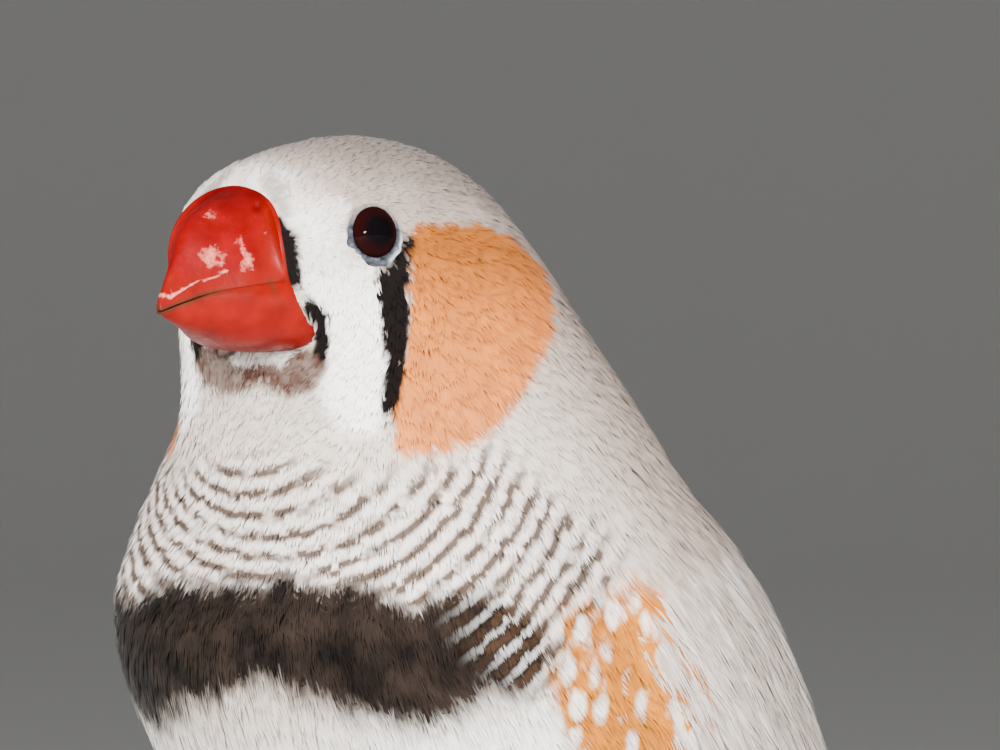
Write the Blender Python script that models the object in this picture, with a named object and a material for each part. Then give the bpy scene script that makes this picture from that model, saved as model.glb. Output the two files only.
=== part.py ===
"""A zebra finch cock of a pale show strain, life size, standing upright on a flat floor.

Sizes are millimetres until a mesh is made. Places are measured from the point midway
between the eyes: x to the bird's left, y towards its tail, z up. At the end the bird is
set down on the floor, over the middle of its own length.
"""

import math
from collections import namedtuple

import bmesh
import bpy
from mathutils import Matrix, Vector

MM = 0.001
GAP = 0.3  # between pieces that touch
SIDES = 32  # round the body
FLOOR_Z = -62.5

# The body's outline with its feathers on. Each station is one slanting section, from the
# bird's back to its front. low moves the widest place towards the front, as a share of
# half the section's height.
Station = namedtuple("Station", "back_y back_z front_y front_z half_width low")
BILL_SEAT = Station(-3.9, 2.8, -2.0, -7.0, 4.8, 0.0)
HEAD = (
    BILL_SEAT,
    Station(-2.4, 4.2, -2.1, -8.1, 7.1, 0.0),
    Station(1.5, 5.3, -2.2, -9.4, 7.8, 0.05),
    Station(6.0, 5.9, -2.4, -11.0, 8.5, 0.1),
    Station(11.0, 5.4, -2.7, -12.7, 9.1, 0.15),
    Station(15.3, 3.8, -3.0, -14.4, 9.8, 0.15),
)
CHEST = (
    Station(18.8, 1.0, -3.6, -16.3, 10.9, 0.12),
    Station(22.0, -3.0, -4.6, -18.5, 12.7, 0.1),
    Station(25.5, -8.0, -5.8, -21.0, 14.6, 0.08),
    Station(29.2, -13.2, -6.8, -24.2, 16.0, 0.08),
    Station(33.2, -18.5, -5.8, -28.2, 16.7, 0.08),
    Station(37.0, -24.0, -2.5, -32.8, 16.9, 0.08),
    Station(40.3, -29.5, 3.0, -38.2, 16.5, 0.08),
    Station(43.1, -34.5, 9.5, -43.0, 15.5, 0.06),
)
RUMP = (
    Station(45.3, -38.5, 18.0, -46.2, 13.5, 0.03),
    Station(47.3, -41.0, 27.0, -48.2, 10.8, 0.0),
    Station(49.2, -42.8, 36.0, -49.2, 8.2, 0.0),
    Station(51.0, -44.2, 44.0, -49.6, 6.2, 0.0),
    Station(52.9, -45.4, 50.2, -49.7, 4.6, 0.0),
    Station(54.8, -46.3, 53.6, -49.5, 3.6, 0.0),
)
BODY = HEAD + CHEST + RUMP
# Behind the flanks the folded wings hold their own line, wider than the rump.
WING_BED = HEAD + CHEST + (
    Station(46.8, -39.0, 18.0, -46.2, 14.4, 0.0),
    Station(50.8, -42.2, 28.0, -48.6, 12.2, 0.0),
    Station(55.4, -44.6, 38.0, -51.0, 9.8, 0.0),
    Station(60.6, -46.8, 48.0, -53.4, 7.8, 0.0),
    Station(66.0, -48.9, 57.0, -55.4, 6.2, 0.0),
)
SEAT_BULGE = 1.7  # how far the bill's seat stands forward at mid height
# The seat is full at its lower corners, where the jaw widens and lies further back.
JAW_WIDTH = 5.0
JAW_BACK = 1.1
JAW_CORNER = (4.0, 4.3)  # across, and below the seat's middle
JAW_STATIONS = 1.5  # how far behind the seat it fades

# Where the flesh is parted, counted in stations from the bill.
PARTED_AT = (0.0, 6.4, 8.3, 13.6, 19.0)
FLESH_NODES = ("head", "neck", "torso", "rump")

# Bill
CULMEN = ((-3.9, 2.8), (-6.4, 1.8), (-8.4, 0.6), (-9.7, -1.5), (-11.15, -4.2))
TOMIUM = ((-5.2, -3.0), (-6.7, -3.3), (-8.2, -3.7), (-9.7, -4.3), (-11.15, -4.85))
GONYS = ((-2.0, -7.0), (-5.0, -6.9), (-7.6, -6.2), (-9.6, -5.6), (-11.1, -5.0))
BILL_HALF_WIDTH = (4.6, 3.3, 1.9, 0.8, 0.18)
BILL_UPPER_FULLNESS = 1.3  # 1 where its sides bow as a circle does, less where boxy
BILL_LOWER_FULLNESS = 0.26
NOSTRIL = (2.45, -4.85, 1.5)
NOSTRIL_RADIUS = 0.45

# Eyes
EYE_STATION = 2.0
EYE_ANGLE = 71.5
EYE_HEADING = 70.0  # degrees round from straight ahead
EYE_LIFT = 10.0  # degrees above level
EYE_RADIUS = 2.0
EYE_OPENING = 1.6
LID_RADIUS = 0.42

# Legs and feet
THIGH_TOP = (8.6, 19.0, -40.0)
THIGH_END = (9.6, 23.6, -49.6)
ANKLE = (10.1, 18.6, -58.9)
SHANK_END = (10.1, 18.4, -60.5)
THIGH_RADII = (6.2, 5.6, 3.9, 2.0)
SHANK_RADII = (1.15, 0.95, 0.95, 1.15)
BOSS_HEIGHT = 1.7
TOE_RADIUS = 0.85
# Each toe: its heading in degrees from straight ahead, outwards, its length and its claw's.
Toe = namedtuple("Toe", "name heading length claw pads")
TOES = (
    Toe("inner", -20.0, 8.2, 3.6, 2),
    Toe("middle", 6.0, 12.0, 4.2, 3),
    Toe("outer", 30.0, 8.8, 3.6, 3),
    Toe("hind", 176.0, 7.2, 4.8, 1),
)

# Tail, measured back from its root along its own fall, and across
TAIL_ROOT = (0.0, 54.2, -47.9)
TAIL_LENGTH = 36.0
TAIL_DROP = 21.0  # degrees below level
TAIL_ARCH = 0.02  # how fast its sides sink, for each mm across, squared
TAIL_CORE_LENGTH = 13.0
TAIL_CORE_HALF_WIDTHS = (3.3, 4.2, 4.4, 3.4)
TAIL_CORE_THICKNESS = (2.8, 2.3, 1.6, 0.8)
RECTRICES = 6  # pairs
RECTRIX_WIDTH = 5.6

# Feathers that show singly are thin vanes: share of the length, share of the width, and
# share of the thickness, from root to tip.
VANE_THICKNESS = 0.5
VANE_CAMBER = 0.03
VANE_PROFILE = ((0.0, 0.6, 1.0), (0.45, 1.0, 1.0), (0.86, 0.85, 0.9), (1.0, 0.25, 0.7))

# Wings: a core that holds the arm, from the bend of the wing backwards. Its near edge
# runs up the back and its far edge along the flank, in degrees round the body.
WING_FROM = 8.7
WING_CORE_TO = 15.6
WING_TOP = (54.0, 32.0, 22.0, 16.0, 15.0, 18.0, 26.0)
WING_LOW = (74.0, 84.0, 87.0, 87.0, 84.0, 80.0, 73.0)
WING_THICKNESS = (0.7, 1.0, 1.0, 0.9, 0.8, 0.7, 0.5)
WING_LIFT = 0.45  # clear of the body

# A tier is a row of vanes. Its first and last feather are given at root and tip, by
# station and degrees round the body, with how far root and tip stand off the body.
Tier = namedtuple("Tier", "name count first_root last_root first_tip last_tip width lifts")
WING_TIERS = (
    Tier("primary", 7, (12.6, 66.0), (12.4, 84.0), (16.3, 30.0), (17.7, 52.0), 4.6, (0.9, 0.65)),
    Tier("secondary", 5, (12.0, 52.0), (12.0, 76.0), (16.1, 27.0), (15.5, 64.0), 5.4, (0.85, 0.95)),
    Tier("tertial", 3, (11.2, 34.0), (11.6, 48.0), (14.6, 18.0), (15.9, 36.0), 7.0, (0.85, 1.3)),
    Tier("greater covert", 7, (10.3, 42.0), (10.6, 82.0), (12.5, 38.0), (12.9, 79.0), 5.0, (0.8, 1.35)),
    Tier("median covert", 6, (9.4, 44.0), (9.6, 80.0), (11.1, 42.0), (11.2, 79.0), 5.4, (0.75, 1.4)),
    Tier("scapular", 4, (9.2, 50.0), (9.6, 27.0), (11.6, 40.0), (12.6, 20.0), 6.4, (0.75, 1.4)),
)
VANE_TILT = -0.22  # its lower edge stands out, over the next feather down


def smooth(values, place):
    """The value at a place along a list, on a smooth curve through every entry."""
    last = len(values) - 1
    start = max(0, min(int(place), last - 1))
    t = place - start
    before, here, after, beyond = (
        Vector(values[max(0, min(last, start + step))]) for step in (-1, 0, 1, 2)
    )
    return 0.5 * (
        2 * here
        + (after - before) * t
        + (2 * before - 5 * here + 4 * after - beyond) * t * t
        + (3 * here - before - 3 * after + beyond) * t * t * t
    )


def smooth_number(values, place):
    return smooth([(value, 0.0) for value in values], place)[0]


def seat_y(z):
    """Where the bill's curved seat stands at a height, in the bird's middle plane."""
    middle = (BILL_SEAT.back_z + BILL_SEAT.front_z) / 2
    along = (z - middle) / ((BILL_SEAT.back_z - BILL_SEAT.front_z) / 2)
    level = (BILL_SEAT.back_y + BILL_SEAT.front_y) / 2
    lean = along * (BILL_SEAT.back_y - BILL_SEAT.front_y) / 2
    return level + lean - SEAT_BULGE * (1 - along * along)


def jaw_back(x, z):
    """How much further back the seat stands towards its lower corners."""
    middle = (BILL_SEAT.back_z + BILL_SEAT.front_z) / 2
    across = min(1.0, abs(x) / JAW_CORNER[0])
    below = min(1.0, max(0.0, (middle - z) / JAW_CORNER[1]))
    return JAW_BACK * (across * below) ** 2


def skin_point(stations, place, degrees, side=1, reach=1.0):
    """A point of a section, from the back (0 degrees) round to the front (180).

    reach under 1 gives a point inside the section, in the same proportion.
    """
    back_y, back_z, front_y, front_z, half_width, low = smooth(stations, place)
    angle = math.radians(degrees)
    along = reach * (math.cos(angle) - low * math.sin(angle) ** 2)
    seat = SEAT_BULGE * (1 - along * along) * max(0.0, 1 - place) ** 2
    jaw = max(0.0, 1 - place / JAW_STATIONS) ** 2
    full_width = half_width + JAW_WIDTH * jaw * max(0.0, -math.cos(angle)) ** 3
    x = side * reach * full_width * math.sin(angle)
    z = (back_z + front_z) / 2 + along * (back_z - front_z) / 2
    y = (back_y + front_y) / 2 + along * (back_y - front_y) / 2
    return Vector((x, y - seat + jaw_back(x, z) * jaw, z))


def outward(stations, place, degrees, side=1):
    """The direction straight out of the surface there."""
    step = 0.05
    back = min(max(place, step), len(stations) - 1 - step)
    along = skin_point(stations, back + step, degrees, side) - skin_point(
        stations, back - step, degrees, side
    )
    round_it = skin_point(stations, place, degrees + 1, side) - skin_point(
        stations, place, degrees - 1, side
    )
    out = along.cross(round_it) * -side
    return out.normalized()


def lifted(stations, place, degrees, side, lift):
    point = skin_point(stations, place, degrees, side)
    return point + outward(stations, place, degrees, side) * lift


def section(stations, place, lift=0.0, shift=0.0):
    """One closed ring round the body; shift moves it along the body's own line."""
    back_y, back_z, front_y, front_z, _, _ = smooth(stations, place)
    across = Vector((0.0, back_z - front_z, front_y - back_y)).normalized()
    step = 360.0 / SIDES
    ring = []
    for index in range(SIDES):
        point = skin_point(stations, place, index * step)
        if lift:
            point = lifted(stations, place, index * step, 1, lift)
        ring.append(point + across * shift)
    return ring


def material(name, colour, roughness, metallic=0.0):
    """A Principled material of an sRGB colour."""
    made = bpy.data.materials.get(name)
    if made:
        return made
    made = bpy.data.materials.new(name)
    made.use_nodes = True
    linear = [((int(colour[i:i + 2], 16) / 255 + 0.055) / 1.055) ** 2.4 for i in (0, 2, 4)]
    shader = made.node_tree.nodes["Principled BSDF"]
    shader.inputs["Base Color"].default_value = (*linear, 1.0)
    shader.inputs["Roughness"].default_value = roughness
    shader.inputs["Metallic"].default_value = metallic
    return made


def object_from(name, points, faces):
    """A mesh object of points in millimetres, with its faces pointing out."""
    mesh = bpy.data.meshes.new(name)
    mesh.from_pydata([Vector(point) * MM for point in points], [], faces)
    form = bmesh.new()
    form.from_mesh(mesh)
    bmesh.ops.recalc_face_normals(form, faces=form.faces)
    form.to_mesh(mesh)
    form.free()
    piece = bpy.data.objects.new(name, mesh)
    bpy.context.scene.collection.objects.link(piece)
    return piece


def loft(name, rings):
    """A closed solid through rings of equal count. A ring of one point closes to a tip."""
    points = [point for ring in rings for point in ring]
    starts = [sum(len(ring) for ring in rings[:index]) for index in range(len(rings))]
    faces = []
    for (first, start), (second, after) in zip(
        zip(rings, starts), list(zip(rings, starts))[1:]
    ):
        count = max(len(first), len(second))
        for i in range(count):
            j = (i + 1) % count
            if len(first) == 1:
                faces.append((start, after + j, after + i))
            elif len(second) == 1:
                faces.append((start + i, start + j, after))
            else:
                faces.append((start + i, start + j, after + j, after + i))
    for ring, start in ((rings[0], starts[0]), (rings[-1], starts[-1])):
        if len(ring) > 1:
            faces.append(tuple(range(start, start + len(ring))))
    return object_from(name, points, faces)


def plate(name, upper, lower):
    """A thin closed plate between two grids of points, split alike on both faces."""
    rows, columns = len(upper), len(upper[0])
    points = [point for grid in (upper, lower) for row in grid for point in row]
    under = rows * columns

    def at(row, column):
        return row * columns + column

    faces = []
    for row in range(rows - 1):
        for column in range(columns - 1):
            a, b = at(row, column), at(row, column + 1)
            c, d = at(row + 1, column + 1), at(row + 1, column)
            faces += [(a, b, c), (a, c, d)]
            faces += [(under + c, under + b, under + a), (under + d, under + c, under + a)]
    rim = [at(0, column) for column in range(columns)]
    rim += [at(row, columns - 1) for row in range(1, rows)]
    rim += [at(rows - 1, column) for column in range(columns - 2, -1, -1)]
    rim += [at(row, 0) for row in range(rows - 2, 0, -1)]
    for here, after in zip(rim, rim[1:] + rim[:1]):
        faces += [(here, under + here, after), (after, under + here, under + after)]
    return object_from(name, points, faces)


def tube(name, centres, radii, sides=10, floor=None):
    """A round tapering limb through its centres; a floor flattens what would pass it."""
    rings = []
    for index, (centre, radius) in enumerate(zip(centres, radii)):
        ahead = Vector(centres[min(index + 1, len(centres) - 1)])
        behind = Vector(centres[max(index - 1, 0)])
        turn = (ahead - behind).normalized().to_track_quat("Z", "X").to_matrix()
        ring = []
        for step in range(sides):
            angle = 2 * math.pi * step / sides
            spoke = Vector((radius * math.cos(angle), radius * math.sin(angle), 0.0))
            point = Vector(centre) + turn @ spoke
            if floor is not None:
                point.z = max(point.z, floor)
            ring.append(point)
        rings.append(ring)
    return loft(name, rings)


def ball(name, centre, radius, rings=8, segments=14):
    form = bmesh.new()
    bmesh.ops.create_uvsphere(form, u_segments=segments, v_segments=rings, radius=radius * MM)
    mesh = bpy.data.meshes.new(name)
    form.to_mesh(mesh)
    form.free()
    piece = bpy.data.objects.new(name, mesh)
    mesh.transform(Matrix.Translation(Vector(centre) * MM))
    bpy.context.scene.collection.objects.link(piece)
    return piece


def combine(piece, others, operation):
    """Apply one Boolean with the other closed pieces, which are then removed."""
    group = bpy.data.collections.new("group")
    bpy.context.scene.collection.children.link(group)
    for other in others:
        bpy.context.scene.collection.objects.unlink(other)
        group.objects.link(other)
    change = piece.modifiers.new("combine", "BOOLEAN")
    change.operation = operation
    change.operand_type = "COLLECTION"
    change.collection = group
    change.solver = "EXACT"
    depsgraph = bpy.context.evaluated_depsgraph_get()
    made = bpy.data.meshes.new_from_object(piece.evaluated_get(depsgraph))
    piece.modifiers.clear()
    piece.data = made
    made.name = piece.name
    for other in others:
        bpy.data.objects.remove(other)
    bpy.data.collections.remove(group)
    keep_largest(piece)
    return piece


def keep_largest(piece):
    """Keep the largest closed surface of a mesh, split into triangles."""
    form = bmesh.new()
    form.from_mesh(piece.data)
    left = set(form.faces)
    shells = []
    while left:
        shell = {left.pop()}
        edge_of_shell = list(shell)
        while edge_of_shell:
            face = edge_of_shell.pop()
            for edge in face.edges:
                for neighbour in edge.link_faces:
                    if neighbour in left:
                        left.remove(neighbour)
                        shell.add(neighbour)
                        edge_of_shell.append(neighbour)
        shells.append(shell)
    shells.sort(key=lambda shell: sum(face.calc_area() for face in shell))
    for shell in shells[:-1]:
        bmesh.ops.delete(form, geom=list(shell), context="FACES")
    bmesh.ops.triangulate(form, faces=form.faces)
    form.to_mesh(piece.data)
    form.free()


def mirrored(piece, name):
    """A copy of a piece on the bird's other side, with its faces pointing out."""
    mesh = piece.data.copy()
    mesh.name = name
    mesh.transform(Matrix.Scale(-1, 4, (1, 0, 0)))
    mesh.flip_normals()
    copy = bpy.data.objects.new(name, mesh)
    bpy.context.scene.collection.objects.link(copy)
    return copy


def dress(piece, finish, sharp=40.0):
    """Give a piece its material, and round shading with its edges kept."""
    piece.data.materials.clear()
    piece.data.materials.append(finish)
    piece.data.shade_smooth()
    piece.data.set_sharp_from_angle(angle=math.radians(sharp))
    return piece


def seat_cap():
    """Rings that close the head in front, on the curved seat that the bill meets."""
    step = 360.0 / SIDES
    rings = []
    for reach in (0.0, 0.33, 0.66, 0.85):
        count = SIDES if reach else 1
        rings.append([skin_point(BODY, 0.0, index * step, 1, reach) for index in range(count)])
    return rings


def make_flesh():
    """Head, neck, torso and rump: one body, parted by thin cuts."""
    down = material("contour feathers", "D8D0CA", 0.85)
    pieces = {}
    for name, start, end in zip(FLESH_NODES, PARTED_AT, PARTED_AT[1:]):
        steps = max(3, round((end - start) * 2.2))
        places = [start + (end - start) * index / steps for index in range(steps + 1)]
        rings = seat_cap() if start == 0 else []
        for place in places:
            shift = 0.0
            if place == start and start > 0:
                shift = GAP / 2
            if place == end and end < PARTED_AT[-1]:
                shift = -GAP / 2
            rings.append(section(BODY, place, 0.0, shift))
        pieces[name] = dress(loft(name, rings), down)
    return pieces


def eye_place():
    """The left eye's centre, the middle of its opening and the direction that it looks in."""
    opening = skin_point(BODY, EYE_STATION, EYE_ANGLE)
    heading = math.radians(EYE_HEADING)
    lift = math.radians(EYE_LIFT)
    look = Vector((
        math.sin(heading) * math.cos(lift),
        -math.cos(heading) * math.cos(lift),
        math.sin(lift),
    ))
    depth = math.sqrt(EYE_RADIUS ** 2 - EYE_OPENING ** 2)
    return opening - look * depth, opening, look


def lid_ring(opening, look):
    """The raised rim of the lids, a ring round the eye's opening."""
    turn = look.to_track_quat("Z", "X").to_matrix()
    around = 16
    sides = 5
    points = []
    for index in range(around):
        angle = 2 * math.pi * index / around
        spoke = turn @ Vector((math.cos(angle), math.sin(angle), 0.0))
        for step in range(sides):
            turned = 2 * math.pi * step / sides
            reach = EYE_OPENING + LID_RADIUS + LID_RADIUS * math.cos(turned)
            height = LID_RADIUS * 0.8 * math.sin(turned)
            points.append(opening + spoke * reach + look * height)
    faces = []
    for index in range(around):
        here, after = index * sides, (index + 1) % around * sides
        for step in range(sides):
            turned = (step + 1) % sides
            faces.append((here + step, here + turned, after + turned, after + step))
    return object_from("lid", points, faces)


def make_eyes(head):
    """Eyes in their sockets, and a rim of lid round each on the head."""
    centre, opening, look = eye_place()
    rims = [lid_ring(opening, look)]
    sockets = [ball("socket", centre, EYE_RADIUS + GAP)]
    rims.append(mirrored(rims[0], "lid of the right"))
    sockets.append(mirrored(sockets[0], "socket of the right"))
    combine(head, rims, "UNION")
    combine(head, sockets, "DIFFERENCE")
    dress(head, material("contour feathers", "D8D0CA", 0.85))
    dress(ball("eye_left", centre, EYE_RADIUS), material("eye", "1C0B08", 0.08))


def bill_half(name, ridge, colour, cut, fullness):
    """Half a bill, between the tomium, where it is flat, and its own ridge."""
    arch = 14
    rings = []
    stages = 9
    for stage in range(stages + 1):
        place = stage / stages * (len(ridge) - 1)
        top = smooth(ridge, place)
        edge = smooth(TOMIUM, place)
        half_width = smooth_number(BILL_HALF_WIDTH, place)
        ring = []
        for index in range(arch + 1):
            angle = math.pi * (index / arch - 0.5)
            rise = max(0.0, math.cos(angle)) ** (fullness + (1 - fullness) * stage / stages)
            height = edge[1] + cut + (top[1] - edge[1] - cut) * rise
            depth = edge[0] + (top[0] - edge[0]) * rise
            ring.append(Vector((half_width * math.sin(angle), depth, height)))
        for share in (0.5, 0.0, -0.5):
            ring.append(Vector((half_width * share, edge[0], edge[1] + cut)))
        near_seat = max(0.0, 1 - place) ** 2
        for point in ring:
            seat = seat_y(point.z) + jaw_back(point.x, point.z) - GAP
            point.y += (seat - point.y) * near_seat
        rings.append(ring)
    middle = sum(rings[0], Vector()) / len(rings[0])
    cap = []
    for reach in (0.0, 0.4, 0.7, 0.87):
        ring = [middle.lerp(point, reach) for point in rings[0][:None if reach else 1]]
        for point in ring:
            point.y = seat_y(point.z) + jaw_back(point.x, point.z) - GAP
        cap.append(ring)
    piece = loft(name, cap + rings)
    return dress(piece, colour, 50.0)


def make_bill():
    """Upper and lower halves of the bill, with the line of the mouth between them."""
    finish = material("upper bill", "C8301C", 0.35)
    upper = bill_half("bill_upper", CULMEN, finish, GAP / 2, BILL_UPPER_FULLNESS)
    nostrils = [ball("nostril", NOSTRIL, NOSTRIL_RADIUS, 6, 8)]
    nostrils.append(mirrored(nostrils[0], "nostril of the right"))
    combine(upper, nostrils, "DIFFERENCE")
    dress(upper, finish)
    finish = material("lower bill", "E04A14", 0.4)
    bill_half("bill_lower", GONYS, finish, -GAP / 2, BILL_LOWER_FULLNESS)


def vane(surface, root, tip, width, lifts, tilt=0.0):
    """One feather, a thin plate from root to tip that follows a surface.

    surface gives the point for a place along it, a place across it and a lift off it.
    root and tip are such places. tilt lifts one long edge and lowers the other.
    """
    upper = []
    lower = []
    for share, spread, thin in VANE_PROFILE:
        along = root[0] + (tip[0] - root[0]) * share
        across = root[1] + (tip[1] - root[1]) * share
        lift = lifts[0] + (lifts[1] - lifts[0]) * share
        centre = surface(along, across, lift)
        out = (surface(along, across, lift + 1) - centre).normalized()
        step = 0.01
        ahead = surface(
            along + (tip[0] - root[0]) * step, across + (tip[1] - root[1]) * step, lift
        ) - centre
        sideways = out.cross(ahead).normalized()
        half_width = spread * width / 2
        upper_row = []
        lower_row = []
        for edge in (-1, 0, 1):
            point = centre + sideways * edge * half_width
            point += out * (edge * tilt - VANE_CAMBER * (edge * half_width) ** 2)
            lower_row.append(point)
            upper_row.append(point + out * VANE_THICKNESS * thin)
        upper.append(upper_row)
        lower.append(lower_row)
    return plate("vane", upper, lower)


def between(first, last, share):
    return tuple(a + (b - a) * share for a, b in zip(first, last))


def wing_surface(place, degrees, lift):
    return lifted(WING_BED, place, degrees, 1, lift)


def make_wings():
    """Folded wings: a core over the arm, with its feathers in tiers down to the tips."""
    rows = 9
    columns = 5
    outer = []
    inner = []
    for row in range(rows + 1):
        share = row / rows
        place = WING_FROM + (WING_CORE_TO - WING_FROM) * share
        knot = share * (len(WING_TOP) - 1)
        top = smooth_number(WING_TOP, knot)
        low = smooth_number(WING_LOW, knot)
        thickness = smooth_number(WING_THICKNESS, knot)
        outer_row = []
        inner_row = []
        for column in range(columns + 1):
            across = column / columns
            degrees = top + (low - top) * across
            crown = 0.5 + 0.5 * math.sin(math.pi * across) ** 0.6
            inner_row.append(wing_surface(place, degrees, WING_LIFT))
            outer_row.append(wing_surface(place, degrees, WING_LIFT + thickness * crown))
        outer.append(outer_row)
        inner.append(inner_row)
    wing = plate("wing_left", outer, inner)
    vanes = []
    for tier in WING_TIERS:
        for index in range(tier.count):
            share = index / (tier.count - 1)
            root = between(tier.first_root, tier.last_root, share)
            tip = between(tier.first_tip, tier.last_tip, share)
            vanes.append(vane(wing_surface, root, tip, tier.width, tier.lifts, VANE_TILT))
    combine(wing, vanes, "UNION")
    dress(wing, material("wing feathers", "CFC6BE", 0.8))


def tail_point(along, across, lift):
    """A point of the tail's own sheet, which falls backwards and sinks at its sides."""
    drop = math.radians(TAIL_DROP)
    back = Vector((0.0, math.cos(drop), -math.sin(drop)))
    up = Vector((0.0, math.sin(drop), math.cos(drop)))
    point = Vector(TAIL_ROOT) + back * along + Vector((across, 0.0, 0.0))
    return point + up * (lift - TAIL_ARCH * across * across)


def make_tail():
    """The closed tail: twelve feathers under and over one another, and its coverts."""
    rows = 6
    columns = 6
    upper = []
    lower = []
    for row in range(rows + 1):
        knot = row / rows * (len(TAIL_CORE_HALF_WIDTHS) - 1)
        half_width = smooth_number(TAIL_CORE_HALF_WIDTHS, knot)
        thickness = smooth_number(TAIL_CORE_THICKNESS, knot)
        along = GAP + TAIL_CORE_LENGTH * row / rows
        places = [(2 * column / columns - 1) * half_width for column in range(columns + 1)]
        upper.append([tail_point(along, across, thickness / 2) for across in places])
        lower.append([tail_point(along, across, -thickness / 2) for across in places])
    tail = plate("tail", upper, lower)
    vanes = []
    for side in (1, -1):
        for pair in range(RECTRICES):
            root = (3.0 + 0.4 * pair, side * (0.7 + 0.45 * pair))
            tip = (TAIL_LENGTH - 0.25 * pair * pair, side * (1.0 + 0.6 * pair))
            lift = 0.55 - 0.3 * pair + (0.15 if side > 0 else 0.0)
            vanes.append(
                vane(tail_point, root, tip, RECTRIX_WIDTH, (lift * 0.6, lift), -side * 0.1)
            )
        for row in range(3):
            root = (2.0 + row, side * (1.0 + 0.9 * row))
            tip = (13.5 + 3.0 * row, side * (1.1 + 1.5 * row))
            vanes.append(vane(tail_point, root, tip, 4.6, (0.5, 1.3 - 0.25 * row), -side * 0.2))
        for row in range(2):
            root = (2.0 + row, side * (1.0 + row))
            tip = (14.0 - 2.0 * row, side * (1.2 + 1.8 * row))
            vanes.append(vane(tail_point, root, tip, 4.8, (-0.9, -2.4 + 0.4 * row), -side * 0.2))
    combine(tail, vanes, "UNION")
    dress(tail, material("tail feathers", "5A4E48", 0.75))


def make_legs():
    """The left thigh and bare shank."""
    top, bend, ankle, sole = (
        Vector(place) for place in (THIGH_TOP, THIGH_END, ANKLE, SHANK_END)
    )
    count = len(THIGH_RADII)
    centres = [top.lerp(bend, index / (count - 1)) for index in range(count)]
    thigh = tube("thigh_left", centres, THIGH_RADII, 14)
    rings = [section(BODY, 8 + index * 0.5, GAP) for index in range(21)]
    heel = tube("heel room", [bend, ankle], [SHANK_RADII[0] + GAP] * 2, 12)
    combine(thigh, [loft("torso room", rings), heel], "DIFFERENCE")
    dress(thigh, material("contour feathers", "D8D0CA", 0.85))

    start = bend + (ankle - bend).normalized() * GAP
    count = len(SHANK_RADII) - 1
    centres = [start.lerp(ankle, index / (count - 1)) for index in range(count)] + [sole]
    shank = tube("shank_left", centres, SHANK_RADII, 10)
    dress(shank, material("leg scales", "E08A50", 0.5))


def make_foot():
    """Four toes from one boss under the shank, with a claw at the end of each."""
    horn = material("leg scales", "E08A50", 0.5)
    claw_horn = material("claws", "8A6A58", 0.35)
    middle = Vector((SHANK_END[0], SHANK_END[1], FLOOR_Z))
    pieces = []
    for toe in TOES:
        heading = math.radians(toe.heading)
        way = Vector((math.sin(heading), -math.cos(heading), 0.0))
        centres = []
        radii = []
        steps = 7
        for step in range(steps + 1):
            share = step / steps
            radius = TOE_RADIUS * (1.06 - 0.25 * share)
            radius *= 1 + 0.1 * math.cos(2 * math.pi * toe.pads * share)
            centres.append(middle + way * toe.length * share + Vector((0.0, 0.0, radius * 0.62)))
            radii.append(radius)
        pieces.append(tube(f"toe {toe.name}", centres, radii, 8, FLOOR_Z))

        claw_root = middle + way * (toe.length + GAP)
        claw_centres = []
        claw_radii = []
        for step in range(6):
            share = step / 5
            height = 0.62 + 0.55 * math.sin(math.pi * share) - 0.35 * share
            claw_centres.append(claw_root + way * toe.claw * share + Vector((0.0, 0.0, height)))
            claw_radii.append(0.48 * (1 - share) ** 0.8 + 0.08)
        dress(tube(f"claw_{toe.name}_left", claw_centres, claw_radii, 6, FLOOR_Z), claw_horn)
    foot = tube("foot_left", [middle, middle + Vector((0.0, 0.0, BOSS_HEIGHT))], (1.6, 1.25), 12)
    combine(foot, pieces, "UNION")
    dress(foot, horn)


def make_right_side():
    """The right side's pieces, mirrored from the left's."""
    for piece in list(bpy.data.objects):
        if piece.name.endswith("_left"):
            mirrored(piece, piece.name.replace("_left", "_right"))


def stand_on_floor():
    """Set the whole bird on the floor, with the middle of its box over the origin."""
    stand = bpy.data.objects.new("stance", None)
    bpy.context.scene.collection.objects.link(stand)
    pieces = [piece for piece in bpy.data.objects if piece.type == "MESH"]
    corners = [vertex.co for piece in pieces for vertex in piece.data.vertices]
    nearest = min(corner.y for corner in corners)
    farthest = max(corner.y for corner in corners)
    stand.location = (0.0, -(nearest + farthest) / 2, -min(corner.z for corner in corners))
    for piece in pieces:
        piece.parent = stand


def main():
    for old in list(bpy.data.objects):
        bpy.data.objects.remove(old)
    flesh = make_flesh()
    make_eyes(flesh["head"])
    make_bill()
    make_wings()
    make_tail()
    make_legs()
    make_foot()
    make_right_side()
    stand_on_floor()


main()
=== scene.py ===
"""The looks of a zebra finch cock of a pale show strain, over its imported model.

Lengths are millimetres, from the point midway between the eyes: x to the bird's left, y
towards its tail, z up. A place on the body is a station, counted from the bill to the
tail, and degrees round the body from the middle of the back.
"""

import math

import bpy
import numpy as np
from bpy.props import FloatProperty, FloatVectorProperty, PointerProperty
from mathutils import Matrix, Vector
from mathutils.kdtree import KDTree


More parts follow.
